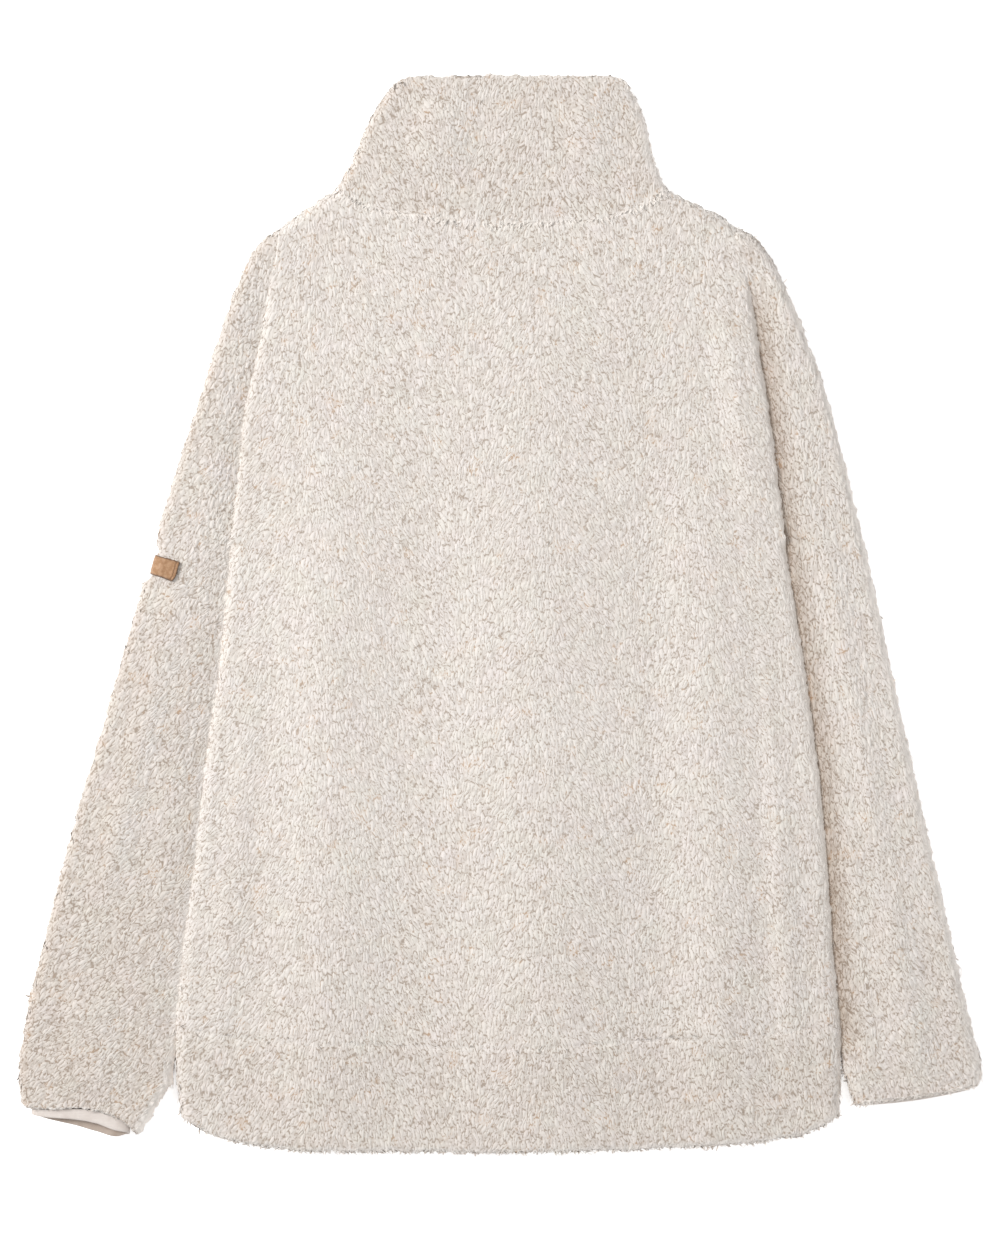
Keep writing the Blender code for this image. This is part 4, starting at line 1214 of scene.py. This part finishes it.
def leather():
    """Smooth tan leather with pores and a mottled face, with painted shade along its cut edges and in
    its sunk stitch lines.
    """
    paint = Paint("leather", 0.55)
    pores = paint.node("TexVoronoi", feature="DISTANCE_TO_EDGE")
    paint.fill(pores, {"Scale": 1300, "Vector": paint.bent(paint.place, 400, 0.0012)})
    pores = paint.ranged(pores.outputs["Distance"], 0.0, 0.16)
    mottled = paint.ranged(paint.noise(330, 4.0), 0.35, 0.68)
    colour = paint.blend(mottled, (0.30, 0.16, 0.073), (0.40, 0.23, 0.12))
    colour = paint.blend(paint.ranged(pores, 0.0, 1.0, 0.35, 0.0), colour, (0.22, 0.105, 0.05))
    # painted shade along the cut edges, with a ragged border
    uneven = paint.plus(paint.stored("edge"), paint.times(paint.noise(700), 1.1))
    colour = paint.blend(paint.ranged(uneven, 0.75, 2.1, 1.0, 0.0), colour, (0.135, 0.072, 0.038))
    # painted shade in the sunk stitch lines
    groove = paint.ranged(paint.stored("seam"), 0.15, 0.8, 0.75, 0.0)
    colour = paint.blend(groove, colour, (0.20, 0.10, 0.052))
    paint.fill(paint.shader, {"Roughness": paint.ranged(mottled, 0.0, 1.0, 0.66, 0.48)})
    return paint.finish(colour, paint.plus(pores, paint.times(mottled, 0.6)), 0.5, 0.00012)


def thread():
    """Twisted brown sewing thread."""
    paint = Paint("thread", 0.7)
    twist = paint.wave("DIAGONAL", 900)
    colour = paint.blend(twist, (0.20, 0.105, 0.055), (0.40, 0.235, 0.135))
    return paint.finish(colour, twist, 0.6, 0.0001)


def binding():
    """Smooth knitted band, light outside and taupe inside."""
    paint = Paint("binding", 0.72)
    paint.fill(paint.shader, {"Sheen Weight": 0.15})
    knit = paint.times(paint.wave("X", 330, 0.6), paint.wave("Y", 260, 0.8))
    mottled = paint.ranged(paint.noise(140, 3.0), 0.3, 0.7)
    light = paint.blend(mottled, (0.575, 0.515, 0.475), (0.655, 0.60, 0.56))
    taupe = paint.blend(mottled, (0.36, 0.285, 0.235), (0.44, 0.36, 0.305))
    colour = paint.blend(paint.stored("inside"), light, taupe)
    colour = paint.blend(paint.ranged(knit, 0.0, 0.6, 0.16, 0.0), colour, (0.30, 0.24, 0.20))
    return paint.finish(colour, knit, 0.45, 0.00025)


def zip_tape():
    """Woven tape in a fine herringbone."""
    paint = Paint("zip_tape", 0.8)
    weave = paint.times(paint.wave("DIAGONAL", 420), paint.wave("Y", 520))
    colour = paint.blend(weave, (0.43, 0.37, 0.32), (0.62, 0.56, 0.51))
    return paint.finish(colour, weave, 0.6, 0.0002)


def zip_plastic():
    """Moulded teeth with a faint mould texture."""
    paint = Paint("zip_teeth", 0.38)
    mould = paint.noise(1500, 3.0)
    colour = paint.blend(paint.ranged(mould, 0.3, 0.7), (0.46, 0.40, 0.35), (0.54, 0.48, 0.43))
    paint.fill(paint.shader, {"Roughness": paint.ranged(mould, 0.3, 0.7, 0.32, 0.46)})
    return paint.finish(colour, mould, 0.2, 0.00008)


def zip_metal():
    """Brushed nickel with fine scratches and duller patches."""
    paint = Paint("zip_metal", 0.3)
    drawn = paint.maths("MULTIPLY", paint.place, (2600.0, 180.0, 900.0), "VectorMath")
    scratches = paint.noise(1.0, 3.0, "Fac", drawn)
    dull = paint.noise(260, 3.0)
    colour = paint.blend(paint.ranged(dull, 0.35, 0.7), (0.60, 0.57, 0.53), (0.70, 0.68, 0.65))
    wear_and_edge_shade = paint.plus(paint.times(scratches, 0.5), paint.times(dull, 0.5))
    paint.fill(paint.shader, {"Metallic": 1.0, "Roughness": paint.ranged(wear_and_edge_shade, 0.35, 0.65, 0.22, 0.42)})
    return paint.finish(colour, scratches, 0.15, 0.00005)


def lights_and_camera():
    world = bpy.data.worlds.new("studio")
    bpy.context.scene.world = world
    world.use_nodes = True
    world.node_tree.nodes["Background"].inputs["Color"].default_value = (1, 1, 1, 1)
    world.node_tree.nodes["Background"].inputs["Strength"].default_value = 0.45
    for name, place, size, power in (
        ("key", (-3.4, 1.6, 3.2), 2.0, 255),
        ("fill", (0.6, -0.4, 2.6), 2.2, 22),
    ):
        data = bpy.data.lights.new(name, "AREA")
        data.size = size
        data.energy = power
        lamp = linked(name, data)
        lamp.location = place
        track = lamp.constraints.new("TRACK_TO")
        track.target = linked(name + "_aim", None)
        track.track_axis = "TRACK_NEGATIVE_Z"
        track.up_axis = "UP_Y"
    data = bpy.data.cameras.new("camera")
    data.sensor_width = SENSOR
    data.lens = SENSOR * (CAMERA_HEIGHT - MIDDLE) / (PHOTO_HIGH * PIXEL)
    camera = linked("camera", data)
    x = (PHOTO_WIDE / 2 - ZERO_PIXEL.x) * PIXEL
    y = (ZERO_PIXEL.y - PHOTO_HIGH / 2) * PIXEL
    camera.location = (x, y, CAMERA_HEIGHT)
    bpy.context.scene.camera = camera
    bpy.context.scene.view_settings.view_transform = "Standard"


def floor():
    bpy.ops.mesh.primitive_plane_add(size=8, location=(0, 0, -0.0005))
    made = bpy.context.object
    made.name = "floor"
    paint = bpy.data.materials.new("floor")
    paint.use_nodes = True
    shader = paint.node_tree.nodes["Principled BSDF"]
    shader.inputs["Base Color"].default_value = (0.9, 0.9, 0.9, 1)
    shader.inputs["Roughness"].default_value = 0.8
    shader.inputs["Emission Color"].default_value = (1, 1, 1, 1)
    shader.inputs["Emission Strength"].default_value = 0.45
    made.data.materials.append(paint)


def dress(piece, material, body="jacket", node=None):
    """Give a piece its material, say what it rides on, and hide the CAD node it stands for."""
    piece.data.materials.append(material)
    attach(piece, body)
    if node:
        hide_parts(node)
    return piece


def main():
    cloth = sherpa()
    shells = {
        "back": build_panel("back"),
        "hem_back": build_panel("hem_back"),
        "collar": build_collar(),
    }
    for which in ("left", "right"):
        for name in ("front_" + which, "hem_front_" + which):
            shells[name] = build_panel(name)
        shells["sleeve_" + which] = build_sleeve(which)
    for node, piece in shells.items():
        dress(piece, cloth, node=node)
    rng = np.random.default_rng(5)
    for plan in LOCKS:
        dress(locks(plan, rng), cloth)
    band = binding()
    for which in ("left", "right"):
        node = "cuff_binding_" + which
        made = dress(build_binding(which), band, node=node)
    patch = dress(build_label(), leather(), node="label")
    stitches = dress(build_label_stitches(), thread())
    woven = zip_tape()
    for which in ("left", "right"):
        tape = bpy.data.objects["zip_tape_" + which]
        tape.data.materials.clear()
        tape.data.materials.append(woven)
    dress(build_teeth(), zip_plastic(), node="zip_chain")
    metal = zip_metal()
    dress(bevelled("zip_slider", "zip_slider_body", 0.3 * MM), metal, node="zip_slider")
    dress(bevelled("zip_pull", "zip_pull_tab", 0.2 * MM), metal, "zip_pull", "zip_pull")
    floor()
    lights_and_camera()


main()
